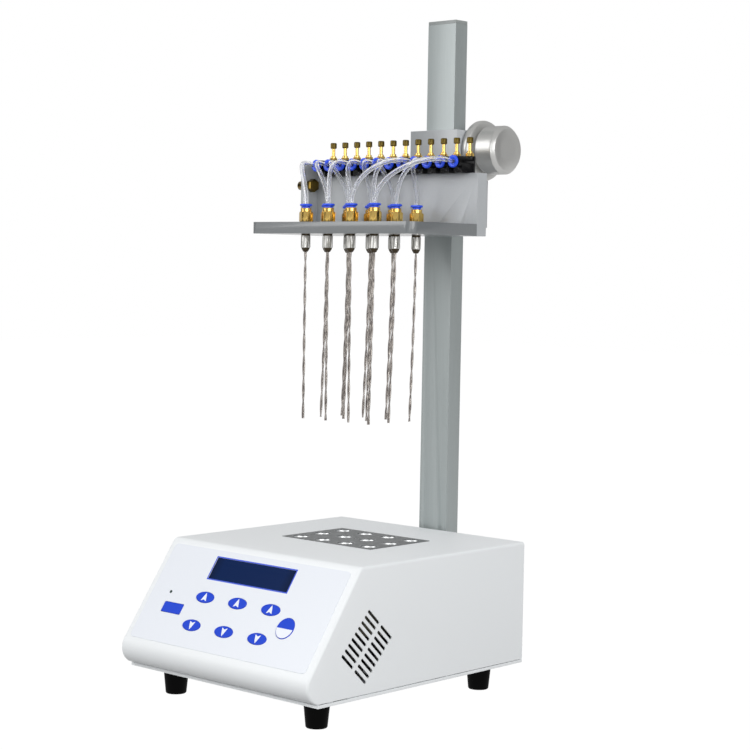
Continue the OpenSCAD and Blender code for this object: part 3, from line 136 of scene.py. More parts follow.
world = bpy.data.worlds.new("surround")
bpy.context.scene.world = world
world.use_nodes = True
tree = world.node_tree
tree.nodes.clear()
seen = add(tree, "LightPath")
rays = [seen.outputs[f"Is {kind} Ray"] for kind in ("Camera", "Transmission")]
straight = add(tree, "Math", {0: rays[0], 1: rays[1]}, operation="MAXIMUM")
level_of = add(tree, "MapRange", {"Value": straight.outputs[0], "To Min": 0.59, "To Max": 1.0})
surround = add(tree, "Background", {"Color": studio_white, "Strength": level_of.outputs[0]})
add(tree, "OutputWorld", {"Surface": surround.outputs[0]})

lamp_aim = Vector((0, 0, 0.25))
lamps = {  # name: (place, width, height, watts)
    "key": ((-1.1, -1.6, 1.1), 1.3, 1.3, 17.0),
    "side": ((2.0, -0.6, 0.9), 1.2, 1.2, 17.0),
    "edge": ((1.2, -1.3, 0.6), 0.12, 1.0, 4.5),
}
for lamp_name, (place, width, height, power) in lamps.items():
    lamp = bpy.data.lights.new(lamp_name, "AREA")
    lamp.shape = "RECTANGLE"
    lamp.size = width
    lamp.size_y = height
    lamp.energy = power
    lamp_object = bpy.data.objects.new(lamp_name, lamp)
    bpy.context.scene.collection.objects.link(lamp_object)
    lamp_object.location = place
    beam = lamp_aim - Vector(place)
    lamp_object.rotation_euler = beam.to_track_quat("-Z", "Y").to_euler()

black_card = bpy.data.materials.new("black_card")
black_card.use_nodes = True
tree = black_card.node_tree
tree.nodes.clear()
matt = add(tree, "BsdfDiffuse", {"Color": linear("1A1A1A")})
add(tree, "OutputMaterial", {"Surface": matt.outputs[0]})
cards = {"right": (38, 0.5), "left": (-165, 0.5), "front": (-84, 0.16)}  # degrees from +X, width
card_away, card_low, card_high = 1.7, 0.05, 1.3
for card_name, (angle, width) in cards.items():
    way = np.array([math.cos(math.radians(angle)), math.sin(math.radians(angle))])
    across = np.array([-way[1], way[0]]) * width / 2
    foot_points = [way * card_away - across, way * card_away + across]
    corners = [(*foot_points[0], card_low), (*foot_points[1], card_low),
               (*foot_points[1], card_high), (*foot_points[0], card_high)]
    card_mesh = bpy.data.meshes.new("card_" + card_name)
    card_mesh.from_pydata(corners, [], [(0, 1, 2, 3)])
    card_mesh.materials.append(black_card)
    card = bpy.data.objects.new("card_" + card_name, card_mesh)
    bpy.context.scene.collection.objects.link(card)
    card.visible_camera = False

# The cover: folded sheet steel under a smooth white powder coat, which gives a soft, even sheen
# with a faint orange peel. Its side profile runs from the rear edge over the brow and down the
# slope to the nose. Its long edges are rounded, and slots, window and block opening are punched.
housing_w = 220 * mm
sheet_t = 0.9 * mm
cover_lo, cover_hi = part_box("top_cover")
top_z, low_z = cover_hi.z, cover_lo.z
slope = math.radians(55)
top_d, brow_r, nose_r = 207 * mm, 6 * mm, 14 * mm
brow = np.array([rear_y - top_d + brow_r * math.tan(slope / 2), top_z - brow_r])
toe_y = rear_y - top_d - (top_z - low_z) / math.tan(slope)
nose = np.array([toe_y + nose_r / math.tan(slope / 2), low_z + nose_r])
edge_r = 2.5 * mm
lip_r = 0.4 * mm


def arc(centre, radius, first, last, steps):
    """Points and outward normals along an arc of the (y, z) plane, angles from +Y towards +Z."""
    angle = np.radians(np.linspace(first, last, steps))
    normal = np.stack([np.cos(angle), np.sin(angle)], -1)
    return centre + radius * normal, normal


slope_normal = 90 + math.degrees(slope)
brow_points, brow_normals = arc(brow, brow_r, 90, slope_normal, 15)
nose_points, nose_normals = arc(nose, nose_r, slope_normal, 270, 29)
flat_steps = 8
top_y = np.linspace(rear_y, brow[0], flat_steps, endpoint=False)
top_points = np.stack([top_y, np.full(flat_steps, top_z)], -1)
path = np.concatenate([top_points, brow_points, nose_points])
outward = np.concatenate([np.tile([0.0, 1.0], (flat_steps, 1)), brow_normals, nose_normals])
nose_rows = 11
nose_share = np.clip((np.arange(len(path)) - (len(path) - 1 - nose_rows)) / nose_rows, 0, 1)
round_r = edge_r + (lip_r - edge_r) * nose_share * nose_share * (3 - 2 * nose_share)
corner = np.radians(np.linspace(90, 0, 7))
half = housing_w / 2
side_x = half - round_r[:, None] + round_r[:, None] * np.cos(corner)
drop = round_r[:, None] * (1 - np.sin(corner))
across = np.concatenate([-side_x[:, ::-1], side_x], 1)
inset = np.concatenate([drop[:, ::-1], drop], 1)
skin = np.stack([
    across,
    path[:, 0][:, None] - inset * outward[:, 0][:, None],
    path[:, 1][:, None] - inset * outward[:, 1][:, None],
], -1)
rows, columns = skin.shape[:2]
row, column = np.arange(rows - 1)[:, None], np.arange(columns - 1)[None, :]
quads = np.stack([row * columns + column, row * columns + column + 1,
                  (row + 1) * columns + column + 1, (row + 1) * columns + column], -1).reshape(-1, 4)
rear_corners = [(s * half, rear_y, low_z) for s in (-1, 1)]
first = rows * columns
left_side = [*(np.arange(rows) * columns).tolist(), first]
right_side = [*((np.arange(rows) + 1) * columns - 1).tolist(), first + 1]
cover_mesh = bpy.data.meshes.new("cover_shell")
cover_mesh.from_pydata(skin.reshape(-1, 3).tolist() + rear_corners, [],
                       [*quads.tolist(), left_side, right_side])


def material(name, sockets):
    """A new material with one Principled shader, whose sockets get the values given."""
    made = bpy.data.materials.new(name)
    made.use_nodes = True
    made.node_tree.nodes.clear()
    shader = add(made.node_tree, "BsdfPrincipled", sockets)
    add(made.node_tree, "OutputMaterial", {"Surface": shader.outputs[0]})
    return made, made.node_tree, shader


def grained(tree, shader, size, depth, stretch=(1, 1, 1), detail=3.0):
    """A bump of noise whose grains are size metres across, stretched along the axes given."""
    place = add(tree, "TexCoord")
    scaled = add(tree, "Mapping", {"Vector": place.outputs["Object"], "Scale": stretch})
    grain = add(tree, "TexNoise", {"Vector": scaled.outputs[0], "Scale": 1 / size, "Detail": detail})
    bump = add(tree, "Bump", {"Height": grain.outputs[0], "Distance": depth, "Strength": 1.0})
    tree.links.new(bump.outputs[0], shader.inputs["Normal"])
    return grain


def dressed(name, mesh, body, finish, replaced=(), smooth=40.0):
    """Merges a mesh's doubles, turns its faces outwards, and puts it on its body."""
    work = bmesh.new()
    work.from_mesh(mesh)
    bmesh.ops.remove_doubles(work, verts=work.verts, dist=1e-6)
    bmesh.ops.recalc_face_normals(work, faces=work.faces)
    work.to_mesh(mesh)
    work.free()
    mesh.shade_smooth()
    mesh.set_sharp_from_angle(angle=math.radians(smooth))
    mesh.materials.clear()
    mesh.materials.append(finish)
    made = bpy.data.objects.new(name, mesh)
    bpy.context.scene.collection.objects.link(made)
    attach(made, body)
    if replaced:
        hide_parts(*replaced)
    return made


powder_coat, tree, shader = material("powder_coated_steel", {
    "Base Color": linear("F0F3F5"), "Roughness": 0.5, "Coat Weight": 0.08, "Coat Roughness": 0.3})
grained(tree, shader, 2.2 * mm, 0.00002)
cover = dressed("cover_shell", cover_mesh, "base", powder_coat, ("top_cover",))
wall = cover.modifiers.new("sheet", "SOLIDIFY")
wall.thickness = sheet_t
wall.offset = -1


def on_panel(x, down, out):
    """A point of the sloped panel: x across, down the slope from the brow, out of the surface."""
    y = rear_y - top_d - down * math.cos(slope) - out * math.sin(slope)
    z = top_z - down * math.sin(slope) + out * math.cos(slope)
    return np.stack(np.broadcast_arrays(x, y, z), -1)


def box_grid(corner, edges):
    """The eight corners of a box as two rings of four, from one corner and three edge vectors."""
    a, b, c = edges
    ring = np.array([corner, corner + a, corner + a + b, corner + b])
    return np.stack([ring, ring + c])


def cutter(name, rings):
    """A hidden tool that punches holes: each of its prisms has a floor and a roof of n points."""
    points, faces, start = [], [], 0
    for ring in rings:
        n = ring.shape[1]
        points.append(ring.reshape(-1, 3))
        faces.append(list(range(start + n - 1, start - 1, -1)))
        faces.append(list(range(start + n, start + 2 * n)))
        faces += [[start + i, start + (i + 1) % n, start + n + (i + 1) % n, start + n + i]
                  for i in range(n)]
        start += 2 * n
    mesh = bpy.data.meshes.new(name)
    mesh.from_pydata(np.concatenate(points).tolist(), [], faces)
    work = bmesh.new()
    work.from_mesh(mesh)
    bmesh.ops.recalc_face_normals(work, faces=work.faces)
    work.to_mesh(mesh)
    work.free()
    made = bpy.data.objects.new(name, mesh)
    bpy.context.scene.collection.objects.link(made)
    return made


def punched(target, tool):
    """Cuts a tool out of a piece, keeps the cut mesh on the piece, and removes the tool."""
    cut = target.modifiers.new("punch", "BOOLEAN")
    cut.object = tool
    cut.solver = "EXACT"
    bpy.context.view_layer.update()
    shown = target.evaluated_get(bpy.context.evaluated_depsgraph_get())
    result = bpy.data.meshes.new_from_object(shown)
    target.modifiers.clear()
    target.data = result
    bpy.data.objects.remove(tool)


def through_panel(x, down):
    """A prism that punches the sloped panel, on an outline of x across and down from the brow."""
    return np.stack([on_panel(x, down, -punch_in), on_panel(x, down, punch_out)])


slot_w, slot_l, slot_pitch, column_pitch = 2.7 * mm, 17.5 * mm, 5.4 * mm, 20.6 * mm
vent_rows, vent_columns = 9, 2
vent_tilt = math.radians(47)
vent_centre = np.array([0, rear_y - 199 * mm, 64 * mm])
along_rows = np.array([0, math.cos(vent_tilt), math.sin(vent_tilt)])
along_slot = np.array([0, -math.sin(vent_tilt), math.cos(vent_tilt)])
slot_turn = np.radians(np.arange(15, 360, 30))
slot_u = slot_w / 2 * np.cos(slot_turn)
slot_v = slot_w / 2 * np.sin(slot_turn) + np.sign(np.sin(slot_turn)) * (slot_l - slot_w) / 2
slot_ring = slot_u[:, None] * along_rows + slot_v[:, None] * along_slot
punch_in, punch_out = 4 * mm, 3 * mm
holes = []
for side in (-1, 1):
    faces_x = [np.array([side * half + depth, 0, 0]) for depth in (-punch_in, punch_in)]
    for col in range(vent_columns):
        for n in range(vent_rows):
            middle = vent_centre + (n - (vent_rows - 1) / 2) * slot_pitch * along_rows
            middle = middle + (col - (vent_columns - 1) / 2) * column_pitch * along_slot
            holes.append(np.stack([slot_ring + middle + at for at in faces_x]))
block_lo, block_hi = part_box("heating_block")
opening_gap, opening_depth = 0.4 * mm, 5 * mm
opening_lo = np.array([block_lo.x - opening_gap, block_lo.y - opening_gap, top_z - opening_depth])
opening_size = [block_hi.x - block_lo.x + 2 * opening_gap, block_hi.y - block_lo.y + 2 * opening_gap,
                opening_depth + punch_in]
holes.append(box_grid(opening_lo, np.diag(opening_size)))
corner_turn = np.array([(-1, 1), (1, 1), (1, -1), (-1, -1)])
window_s, window_half_x, window_half_s = 22 * mm, 46.2 * mm, 9.9 * mm
holes.append(through_panel(corner_turn[:, 0] * window_half_x, window_s + corner_turn[:, 1] * window_half_s))
key_gap, key_pitch = 0.25 * mm, 38.6 * mm
key_rows = {49 * mm: "up", 75 * mm: "down"}
oval_half_x, oval_half_s = 10.5 * mm, 5 * mm
disc_x, disc_s, disc_r = 62.6 * mm, 61.8 * mm, 9.2 * mm
bar_x, bar_s, bar_half_x, bar_half_s = -69.8 * mm, 63.5 * mm, 11.6 * mm, 4.7 * mm
lamp_x, lamp_s, lamp_hole_r = -80.6 * mm, 49.7 * mm, 1.45 * mm
round_turn = np.radians(np.arange(0, 360, 7.5))
for down in key_rows:
    for col in (-1, 0, 1):
        holes.append(through_panel(col * key_pitch + (oval_half_x + key_gap) * np.cos(round_turn),
                                   down + (oval_half_s + key_gap) * np.sin(round_turn)))
holes.append(through_panel(disc_x + (disc_r + key_gap) * np.cos(round_turn),
                           disc_s + (disc_r + key_gap) * np.sin(round_turn)))
holes.append(through_panel(bar_x + corner_turn[:, 0] * (bar_half_x + key_gap),
                           bar_s + corner_turn[:, 1] * (bar_half_s + key_gap)))
lamp_turn = np.radians(np.arange(0, 360, 30))
holes.append(through_panel(lamp_x + lamp_hole_r * np.cos(lamp_turn),
                           lamp_s + lamp_hole_r * np.sin(lamp_turn)))
punched(cover, cutter("punch_tool", holes))
cover.data.shade_smooth()
cover.data.set_sharp_from_angle(angle=math.radians(32))

# The chassis tray: the same coated sheet, folded up at the rear and the sides. Its bottom
# plate shows as a thin lip under the cover, with a dark shadow line between the two. Where the
# cover hides the tray, it is coloured dark grey as painted shade, so the vents stay dark.


def softened(node, width, finish, segments=2, sharp=35.0):
    """A copy of a solid with its doubles merged, its flat faces joined and its edges rounded."""
    source = frame["nodes"][node]
    mesh = source.data.copy()
    work = bmesh.new()
    work.from_mesh(mesh)
    bmesh.ops.remove_doubles(work, verts=work.verts, dist=1e-6)
    bmesh.ops.dissolve_limit(work, angle_limit=math.radians(0.3), verts=work.verts, edges=work.edges)
    work.to_mesh(mesh)
    work.free()
    mesh.shade_smooth()
    mesh.materials.clear()
    mesh.materials.append(finish)
    made = bpy.data.objects.new(node + "_finish", mesh)
    bpy.context.scene.collection.objects.link(made)
    edge = made.modifiers.new("rounded edges", "BEVEL")
    edge.width = width
    edge.segments = segments
    edge.limit_method = "ANGLE"
    edge.angle_limit = math.radians(sharp)
    edge.harden_normals = True
    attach(made, source["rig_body"])
    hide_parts(node)
    return made


rear_zone, lip_zone = 10 * mm, 1.5 * mm
tray_coat_with_painted_shade, tree, shader = material("coated_steel_with_painted_shade", {"Roughness": 0.5})
grained(tree, shader, 2.2 * mm, 0.00002)
place = add(tree, "TexCoord")
parts = add(tree, "SeparateXYZ", {0: place.outputs["Object"]})
# Painted shade: above the lip and ahead of the rear panel, the white coat turns dark grey.
before_rear = add(tree, "Math", {0: parts.outputs[1], 1: rear_y - rear_zone}, operation="LESS_THAN")
over_lip = add(tree, "Math", {0: parts.outputs[2], 1: low_z + lip_zone}, operation="GREATER_THAN")
painted_shade_mask = add(tree, "Math", {0: before_rear.outputs[0], 1: over_lip.outputs[0]}, operation="MULTIPLY")
coat_and_painted_shade = add(tree, "Mix", {"Factor": painted_shade_mask.outputs[0], 6: linear("F0F3F5"), 7: linear("34363A")},
            data_type="RGBA")
tree.links.new(coat_and_painted_shade.outputs[2], shader.inputs["Base Color"])
softened("chassis_tray", 0.35 * mm, tray_coat_with_painted_shade)

# The panel film: printed polyester, a little bluer and glossier than the paint round it. It is
# glued to the slope of the cover and stops short of the cover's rounded edges.


def finished(node, finish):
    """Gives a solid its finish and leaves its mesh as it is."""
    materials = frame["nodes"][node].data.materials
    materials.clear()
    materials.append(finish)


panel_film, tree, shader = material("printed_polyester_film", {
    "Base Color": linear("E7EBF2"), "Roughness": 0.34, "Coat Weight": 0.2, "Coat Roughness": 0.2})
grained(tree, shader, 0.6 * mm, 0.000004)
finished("front_overlay", panel_film)

# The display: a liquid crystal cell behind a tinted window. It is off, so it shows deep navy,
# darker at its ends, with a faint gloss. A printed blue border frames it.
display_glass, tree, shader = material("tinted_display_window", {
    "Roughness": 0.25, "Specular IOR Level": 0.05})
dim_from, dim_to = 36 * mm, 47 * mm
place = add(tree, "TexCoord")
edge_of = add(tree, "SeparateXYZ", {0: place.outputs["Object"]})
side_of = add(tree, "Math", {0: edge_of.outputs[0]}, operation="ABSOLUTE")
dim = add(tree, "MapRange", {"Value": side_of.outputs[0], "From Min": dim_from, "From Max": dim_to})
navy = add(tree, "Mix", {"Factor": dim.outputs[0], 6: linear("02204F"), 7: linear("021638")},
           data_type="RGBA")
tree.links.new(navy.outputs[2], shader.inputs["Base Color"])
finished("display_module", display_glass)
border_blue, tree, shader = material("royal_blue_ink", {"Base Color": linear("2A50D8"), "Roughness": 0.4})
grained(tree, shader, 0.3 * mm, 0.000003)
border_w, film_t, ink_t = 1.1 * mm, 0.5 * mm, 0.04 * mm
border_rings = []
for grown, out in ((0, film_t), (border_w, film_t), (border_w, film_t + ink_t), (0, film_t + ink_t)):
    border_x = corner_turn[:, 0] * (window_half_x + grown)
    border_s = window_s + corner_turn[:, 1] * (window_half_s + grown)
    border_rings.append(on_panel(border_x, border_s, out))


def piece(name, grids, body, finish, replaced=(), closed=False, smooth=40.0):
    """One piece from grids of points: each grid is rows x columns x 3, its columns run round
    and close, and its rows run along and close too where closed is set. Doubles are merged
    and faces turned outwards. Edges sharper than smooth degrees stay crisp."""
    points, faces, start = [], [], 0
    for grid in grids:
        rows, columns = grid.shape[:2]
        row = np.arange(rows if closed else rows - 1)[:, None]
        column = np.arange(columns)[None, :]
        after, beside = (row + 1) % rows, (column + 1) % columns
        corners = (row * columns + column, row * columns + beside,
                   after * columns + beside, after * columns + column)
        faces.append(np.stack(corners, -1).reshape(-1, 4) + start)
        points.append(grid.reshape(-1, 3))
        start += rows * columns
    mesh = bpy.data.meshes.new(name)
    mesh.from_pydata(np.concatenate(points).tolist(), [], np.concatenate(faces).tolist())
    return dressed(name, mesh, body, finish, replaced, smooth)


piece("window_border", [np.stack(border_rings)], "base", border_blue, (),
      closed=True, smooth=20)

# The keys: moulded blue caps, slightly domed and satin, that stand a hair above the film.
# The six ovals carry a white printed arrowhead; the round key is half blue and half white.
key_top, key_foot = 0.9 * mm, -1.8 * mm
print_z, print_r = key_top + 0.01 * mm, 8.7 * mm
key_blue, tree, shader = material("blue_key_cap", {
    "Base Color": linear("2249D2"), "Roughness": 0.42, "Specular IOR Level": 0.1})
grained(tree, shader, 0.35 * mm, 0.000003)
key_white, tree, shader = material("white_printing_ink", {"Base Color": linear("EEF2FA"), "Roughness": 0.45})
grained(tree, shader, 0.3 * mm, 0.000003)


def key_cap(x, down, outline):
    """A cap whose sides follow outline(angle), with a small round at its rim and a shallow crown."""
    angle = np.linspace(0, 2 * math.pi, 64, endpoint=False)
    ring = outline(angle)
    shares = np.array([0, 1, 1, 1, 0.985, 0.95, 0.86, 0.6, 0.3, 0])
    heights = np.array([key_foot, key_foot, 0, key_top - 0.35 * mm, key_top - 0.15 * mm, key_top - 0.08 * mm,
                        key_top - 0.05 * mm, key_top - 0.02 * mm, key_top, key_top])
    return on_panel(x + shares[:, None] * ring[:, 0], down - shares[:, None] * ring[:, 1],
                    np.broadcast_to(heights[:, None], (len(shares), len(angle))))


def oval(angle):
    """An ellipse: its half axes times the cosine and the sine."""
    return np.stack([oval_half_x * np.cos(angle), oval_half_s * np.sin(angle)], -1)


def disc(angle):
    """A circle of the round key's radius."""
    return disc_r * np.stack([np.cos(angle), np.sin(angle)], -1)


def soft_bar(angle):
    """A rectangle with round corners: the corners of a smaller one, pushed out by a circle."""
    c, s = np.cos(angle), np.sin(angle)
    round_corner = 1.8 * mm
    return np.stack([(bar_half_x - round_corner) * np.sign(np.round(c, 6)) + round_corner * c,
                     (bar_half_s - round_corner) * np.sign(np.round(s, 6)) + round_corner * s], -1)


def printed(name, outline, body, ink, out):
    """A flat print on a key: an outline of (x, down) points, as a prism as thick as the ink."""
    count = len(outline)
    low = on_panel(outline[:, 0], outline[:, 1], out)
    high = on_panel(outline[:, 0], outline[:, 1], out + ink_t)
    mesh = bpy.data.meshes.new(name)
    sides = [[i, (i + 1) % count, count + (i + 1) % count, count + i] for i in range(count)]
    mesh.from_pydata([*low.tolist(), *high.tolist()], [],
                     [list(range(count))[::-1], list(range(count, 2 * count)), *sides])
    return dressed(name, mesh, body, ink, (), 20)


arrow_half = np.array([[0, 4.1], [1.3, 1.5], [3.1, -3.3], [1.6, -2.9], [0.7, -2.3], [0, -2.1]])
arrow = np.concatenate([arrow_half, arrow_half[-2:0:-1] * (-1, 1)]) * mm
for down, way in key_rows.items():
    for column_name, col in (("number", -1), ("temperature", 0), ("time", 1)):
        key = f"{column_name}_{way}_key"
        x = col * key_pitch
        piece(key + "_cap", [key_cap(x, down, oval)], key, key_blue, (key,))
        sign = -1 if way == "up" else 1
        outline = np.stack([x + arrow[:, 0], down + sign * arrow[:, 1]], -1)
        printed(key + "_arrow", outline, key, key_white, print_z)
piece("program_key_cap", [key_cap(bar_x, bar_s, soft_bar)], "program_key", key_blue,
      ("program_key",))
piece("start_stop_key_cap", [key_cap(disc_x, disc_s, disc)], "start_stop_key", key_blue,
      ("start_stop_key",))
lower_half = np.radians(np.linspace(183, 357, 40))
half_disc = np.stack([disc_x + print_r * np.cos(lower_half), disc_s - print_r * np.sin(lower_half)], -1)
printed("start_stop_key_print", half_disc, "start_stop_key", key_white, print_z)

# The run lamp: a small light in a tinted epoxy lens, which stands in its hole at the left of
# the panel. It is unlit.
lamp_lens, tree, shader = material("tinted_epoxy_lens", {
    "Base Color": linear("1E3A34"), "Roughness": 0.15, "Coat Weight": 0.5, "Coat Roughness": 0.05})
grained(tree, shader, 0.4 * mm, 0.000002)
finished("run_lamp", lamp_lens)

# The heating block: aluminium, milled on top and dark from its hard anodising, so it shows
# faint cutter lines and a broken satin gloss. Its twelve wells and the lifting thread between
# them are drilled, with bright chamfers.


def mottled(tree, shader, grain, dark, light, spread=0.5):
    """Colours a shader between two tones by the noise that bumps it. A smaller spread is harder."""
    clear = add(tree, "MapRange", {"Value": grain.outputs[0], "From Min": 0.5 - spread,
                                   "From Max": 0.5 + spread})
    tone = add(tree, "Mix", {"Factor": clear.outputs[0], 6: linear(dark), 7: linear(light)},
               data_type="RGBA")
    tree.links.new(tone.outputs[2], shader.inputs["Base Color"])


block_alloy, tree, shader = material("hard_anodised_aluminium", {"Metallic": 0.9, "Roughness": 0.42})
grain = grained(tree, shader, 1.8 * mm, 0.00003, (0.4, 1, 1), 5.0)
mottled(tree, shader, grain, "585B5D", "9A9D9E", 0.25)
bright_cut, tree, shader = material("bright_cut_aluminium", {"Metallic": 0.75, "Roughness": 0.4})
grain = grained(tree, shader, 0.5 * mm, 0.00001)
mottled(tree, shader, grain, "DCDEDF", "F4F5F6")
well_r, well_depth, well_pitch = 7 * mm, 42 * mm, 26.6 * mm
block_y = (block_lo.y + block_hi.y) / 2
well_at = [(x * well_pitch, block_y + y * well_pitch) for y in (-1, 0, 1) for x in (-1.5, -0.5, 0.5, 1.5)]
finished("heating_block", block_alloy)
chamfer, ring_lift = 1 * mm, 0.03 * mm
turn_angle = np.linspace(0, 2 * math.pi, 48, endpoint=False)


def turned(profile, centre=(0, 0, 0), angle=turn_angle):
    """A shape turned about a vertical axis: each (radius, height) of the profile becomes a ring."""
    radius, height = np.array(profile, float).T[:, :, None]
    x, y = radius * np.cos(angle), radius * np.sin(angle)
    return np.stack([x, y, np.broadcast_to(height, x.shape)], -1) + np.array(centre)


def bright_rim(radius, depth, slant, flare, liner):
    """The profile of a thin bright lining in a hole: up its wall, out over the chamfer, and back
    under it. The chamfer is slant deep and flare wide, and liner is how far the wall stands in."""
    outer = radius + flare + 0.05 * mm
    behind = radius - 0.02 * mm
    return [(radius - liner, -depth), (radius - liner, -slant), (radius + flare, ring_lift),
            (outer, ring_lift), (outer, 0), (behind, -slant * 0.9), (behind, -depth)]


well_rim = bright_rim(well_r, well_depth - 0.2 * mm, chamfer, chamfer * 0.7, 0.12 * mm)
thread_r, thread_chamfer = 2.1 * mm, 0.6 * mm
thread_rim = bright_rim(thread_r, 2 * mm, thread_chamfer, thread_chamfer, 0.1 * mm)
rims = [turned(well_rim, (x, y, block_hi.z)) for x, y in well_at]
rims.append(turned(thread_rim, (0, block_y, block_hi.z)))
piece("well_bores", rims, "heating_block", bright_cut, (), closed=True)

# Inside the housing: a cast seat for the block on a silicone heater mat, in a box of mineral
# fibre board, with its probe, and the two circuit boards. The cover hides nearly all of it. The
# cap of the column and the bushes of the shaft get their finishes in the same loop.
inner_finishes = {
    # node: (finish, dark tone, light tone, metallic, roughness, grain size)
    "block_seat": ("cast_aluminium", "8E9092", "A6A8A9", 0.6, 0.55, 1.5 * mm),
    "heater_plate": ("silicone_rubber_mat", "8A3B1C", "A3491F", 0.0, 0.7, 1.2 * mm),
    "insulation_jacket": ("mineral_fibre_board", "CFC7AE", "E2DCC6", 0.0, 0.95, 0.8 * mm),
    "temperature_probe": ("drawn_steel_sheath", "9B9DA0", "B5B7BA", 1.0, 0.3, 0.6 * mm),
    "control_board": ("green_solder_mask", "0E4A25", "15602F", 0.0, 0.35, 1.0 * mm),
    "power_board": ("green_solder_mask_b", "0E4A25", "1A5A33", 0.0, 0.4, 1.0 * mm),
    "column_cap": ("grey_moulded_nylon", "8C9190", "9BA09F", 0.0, 0.5, 0.7 * mm),
    "shaft_bushes": ("sintered_bronze", "8A5F33", "A87A48", 0.9, 0.5, 0.5 * mm),
}
for node, (finish, dark, light, metal, rough, size) in inner_finishes.items():
    made, tree, shader = material(finish, {"Metallic": metal, "Roughness": rough})
    grain = grained(tree, shader, size, size * 0.02)
    mottled(tree, shader, grain, dark, light)
    softened(node, 0.2 * mm, made, 1)

# The feet: turned from black rubber with a polished skin, which mirrors the lamps in a narrow
# upright streak. Each has a small round at the bench, and a screw in a recess from below.
gloss_rubber, tree, shader = material("polished_black_rubber", {
    "Base Color": linear("010101"), "Roughness": 0.5, "Specular IOR Level": 0.0,
    "Coat Weight": 0.1, "Coat Roughness": 0.04})
grained(tree, shader, 1.5 * mm, 0.00001)
feet_lo, feet_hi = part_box("rubber_feet")
foot_h, foot_top, foot_low, recess_r, recess = feet_hi.z, 11 * mm, 8.8 * mm, 3.6 * mm, 17 * mm
foot_x, foot_hole_r = 83 * mm, 1.65 * mm
foot_profile = [
    (foot_hole_r, foot_h), (foot_hole_r, recess), (recess_r, recess), (recess_r, 0.6 * mm),
    (recess_r + 0.6 * mm, 0),
    (foot_low - 1.4 * mm, 0), (foot_low - 0.55 * mm, 0.15 * mm), (foot_low, 0.9 * mm),
    (foot_top - 0.5 * mm, foot_h - 5 * mm), (foot_top, foot_h - 0.6 * mm), (foot_top - 0.3 * mm, foot_h),
]
foot_at = [(s * foot_x, y, 0) for s in (-1, 1)
           for y in (feet_hi.y - foot_top, feet_lo.y + foot_top)]
feet = [turned(foot_profile, place) for place in foot_at]
piece("turned_feet", feet, "base", gloss_rubber, ("rubber_feet",), closed=True)

# The screws: zinc-plated steel, bright with a faint blue cast and fine turning marks. They hold
# the cover, the feet, the column and the plates of the gas head.
zinc_plate, tree, shader = material("zinc_plated_steel", {"Metallic": 1.0, "Roughness": 0.32})
grain = grained(tree, shader, 0.4 * mm, 0.000006)
mottled(tree, shader, grain, "8E9194", "B7BABD")
for node in ("housing_screws", "column_bolts", "head_screws", "knob_set_screw"):
    softened(node, 0.2 * mm, zinc_plate, 1)

# The column and its bracket: extruded aluminium, anodised a matt green-grey. The finish is
# even, with hardly visible draw lines along its length, and the corners catch a bright line.
anodised_grey, tree, shader = material("matt_anodised_aluminium", {
    "Metallic": 0.35, "Roughness": 0.45, "Coat Weight": 0.22, "Coat Roughness": 0.16})
grain = grained(tree, shader, 0.9 * mm, 0.000012, (1, 1, 0.02), 4.0)
mottled(tree, shader, grain, "979E9E", "A3AAAA")
softened("column", 1 * mm, anodised_grey, 3)
softened("column_bracket", 0.5 * mm, anodised_grey)

# The rack and the pinion on its shaft: cut from bright drawn steel, lightly oiled. The rack lies
# in the rear channel of the column.
bright_steel, tree, shader = material("bright_drawn_steel", {"Metallic": 1.0, "Roughness": 0.28})
grain = grained(tree, shader, 0.5 * mm, 0.000008, (1, 1, 0.2))
mottled(tree, shader, grain, "85888A", "A9ACAE")
for node in ("rack", "pinion_shaft"):
    finished(node, bright_steel)

# The gas head's plates and the carriage: milled aluminium under a satin grey paint, with
# slightly broken edges that show lighter. The needle plate's copy of the paint is glossier,
# and darker as painted shade.
satin_grey, tree, shader = material("satin_grey_paint", {
    "Roughness": 0.4, "Coat Weight": 0.15, "Coat Roughness": 0.3})
grain = grained(tree, shader, 1.6 * mm, 0.000015)
mottled(tree, shader, grain, "B2B6B9", "BABDC0")
for node in ("carriage", "head_arm", "gas_chamber", "inlet_plate"):
    softened(node, 0.5 * mm, satin_grey, 3)
gloss_grey_painted_shade, tree, shader = material("gloss_grey_paint_with_painted_shade", {
    "Roughness": 0.3, "Coat Weight": 0.7, "Coat Roughness": 0.12})
grain = grained(tree, shader, 1.6 * mm, 0.00001)
# Painted shade: the needle plate's grey is a darker tone of the same paint.
mottled(tree, shader, grain, "6F7376", "767A7C")
softened("needle_plate", 0.5 * mm, gloss_grey_painted_shade, 3)

# The knob: turned from aluminium bar and clear anodised. The grip has fine rings cut round it;
# the flange, the face and its chamfer are smooth.
turned_alloy, tree, shader = material("turned_anodised_aluminium", {"Metallic": 0.6, "Roughness": 0.32})
grain = grained(tree, shader, 0.5 * mm, 0.000006)
mottled(tree, shader, grain, "B4B4B2", "C4C4C2")
knob_lo, knob_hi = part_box("knob")
knob_axis = ((knob_lo.y + knob_hi.y) / 2, (knob_lo.z + knob_hi.z) / 2)
groove, groove_pitch = 0.34 * mm, 2.1 * mm
knob_l = knob_hi.x - knob_lo.x


def grooved(radius, start, end):
    """A cylinder's side with V grooves cut at a steady pitch."""
    count = int((end - start) / groove_pitch)
    steps = np.linspace(start, end, 2 * count + 1)
    return [(radius - groove * (n % 2), at) for n, at in enumerate(steps)]


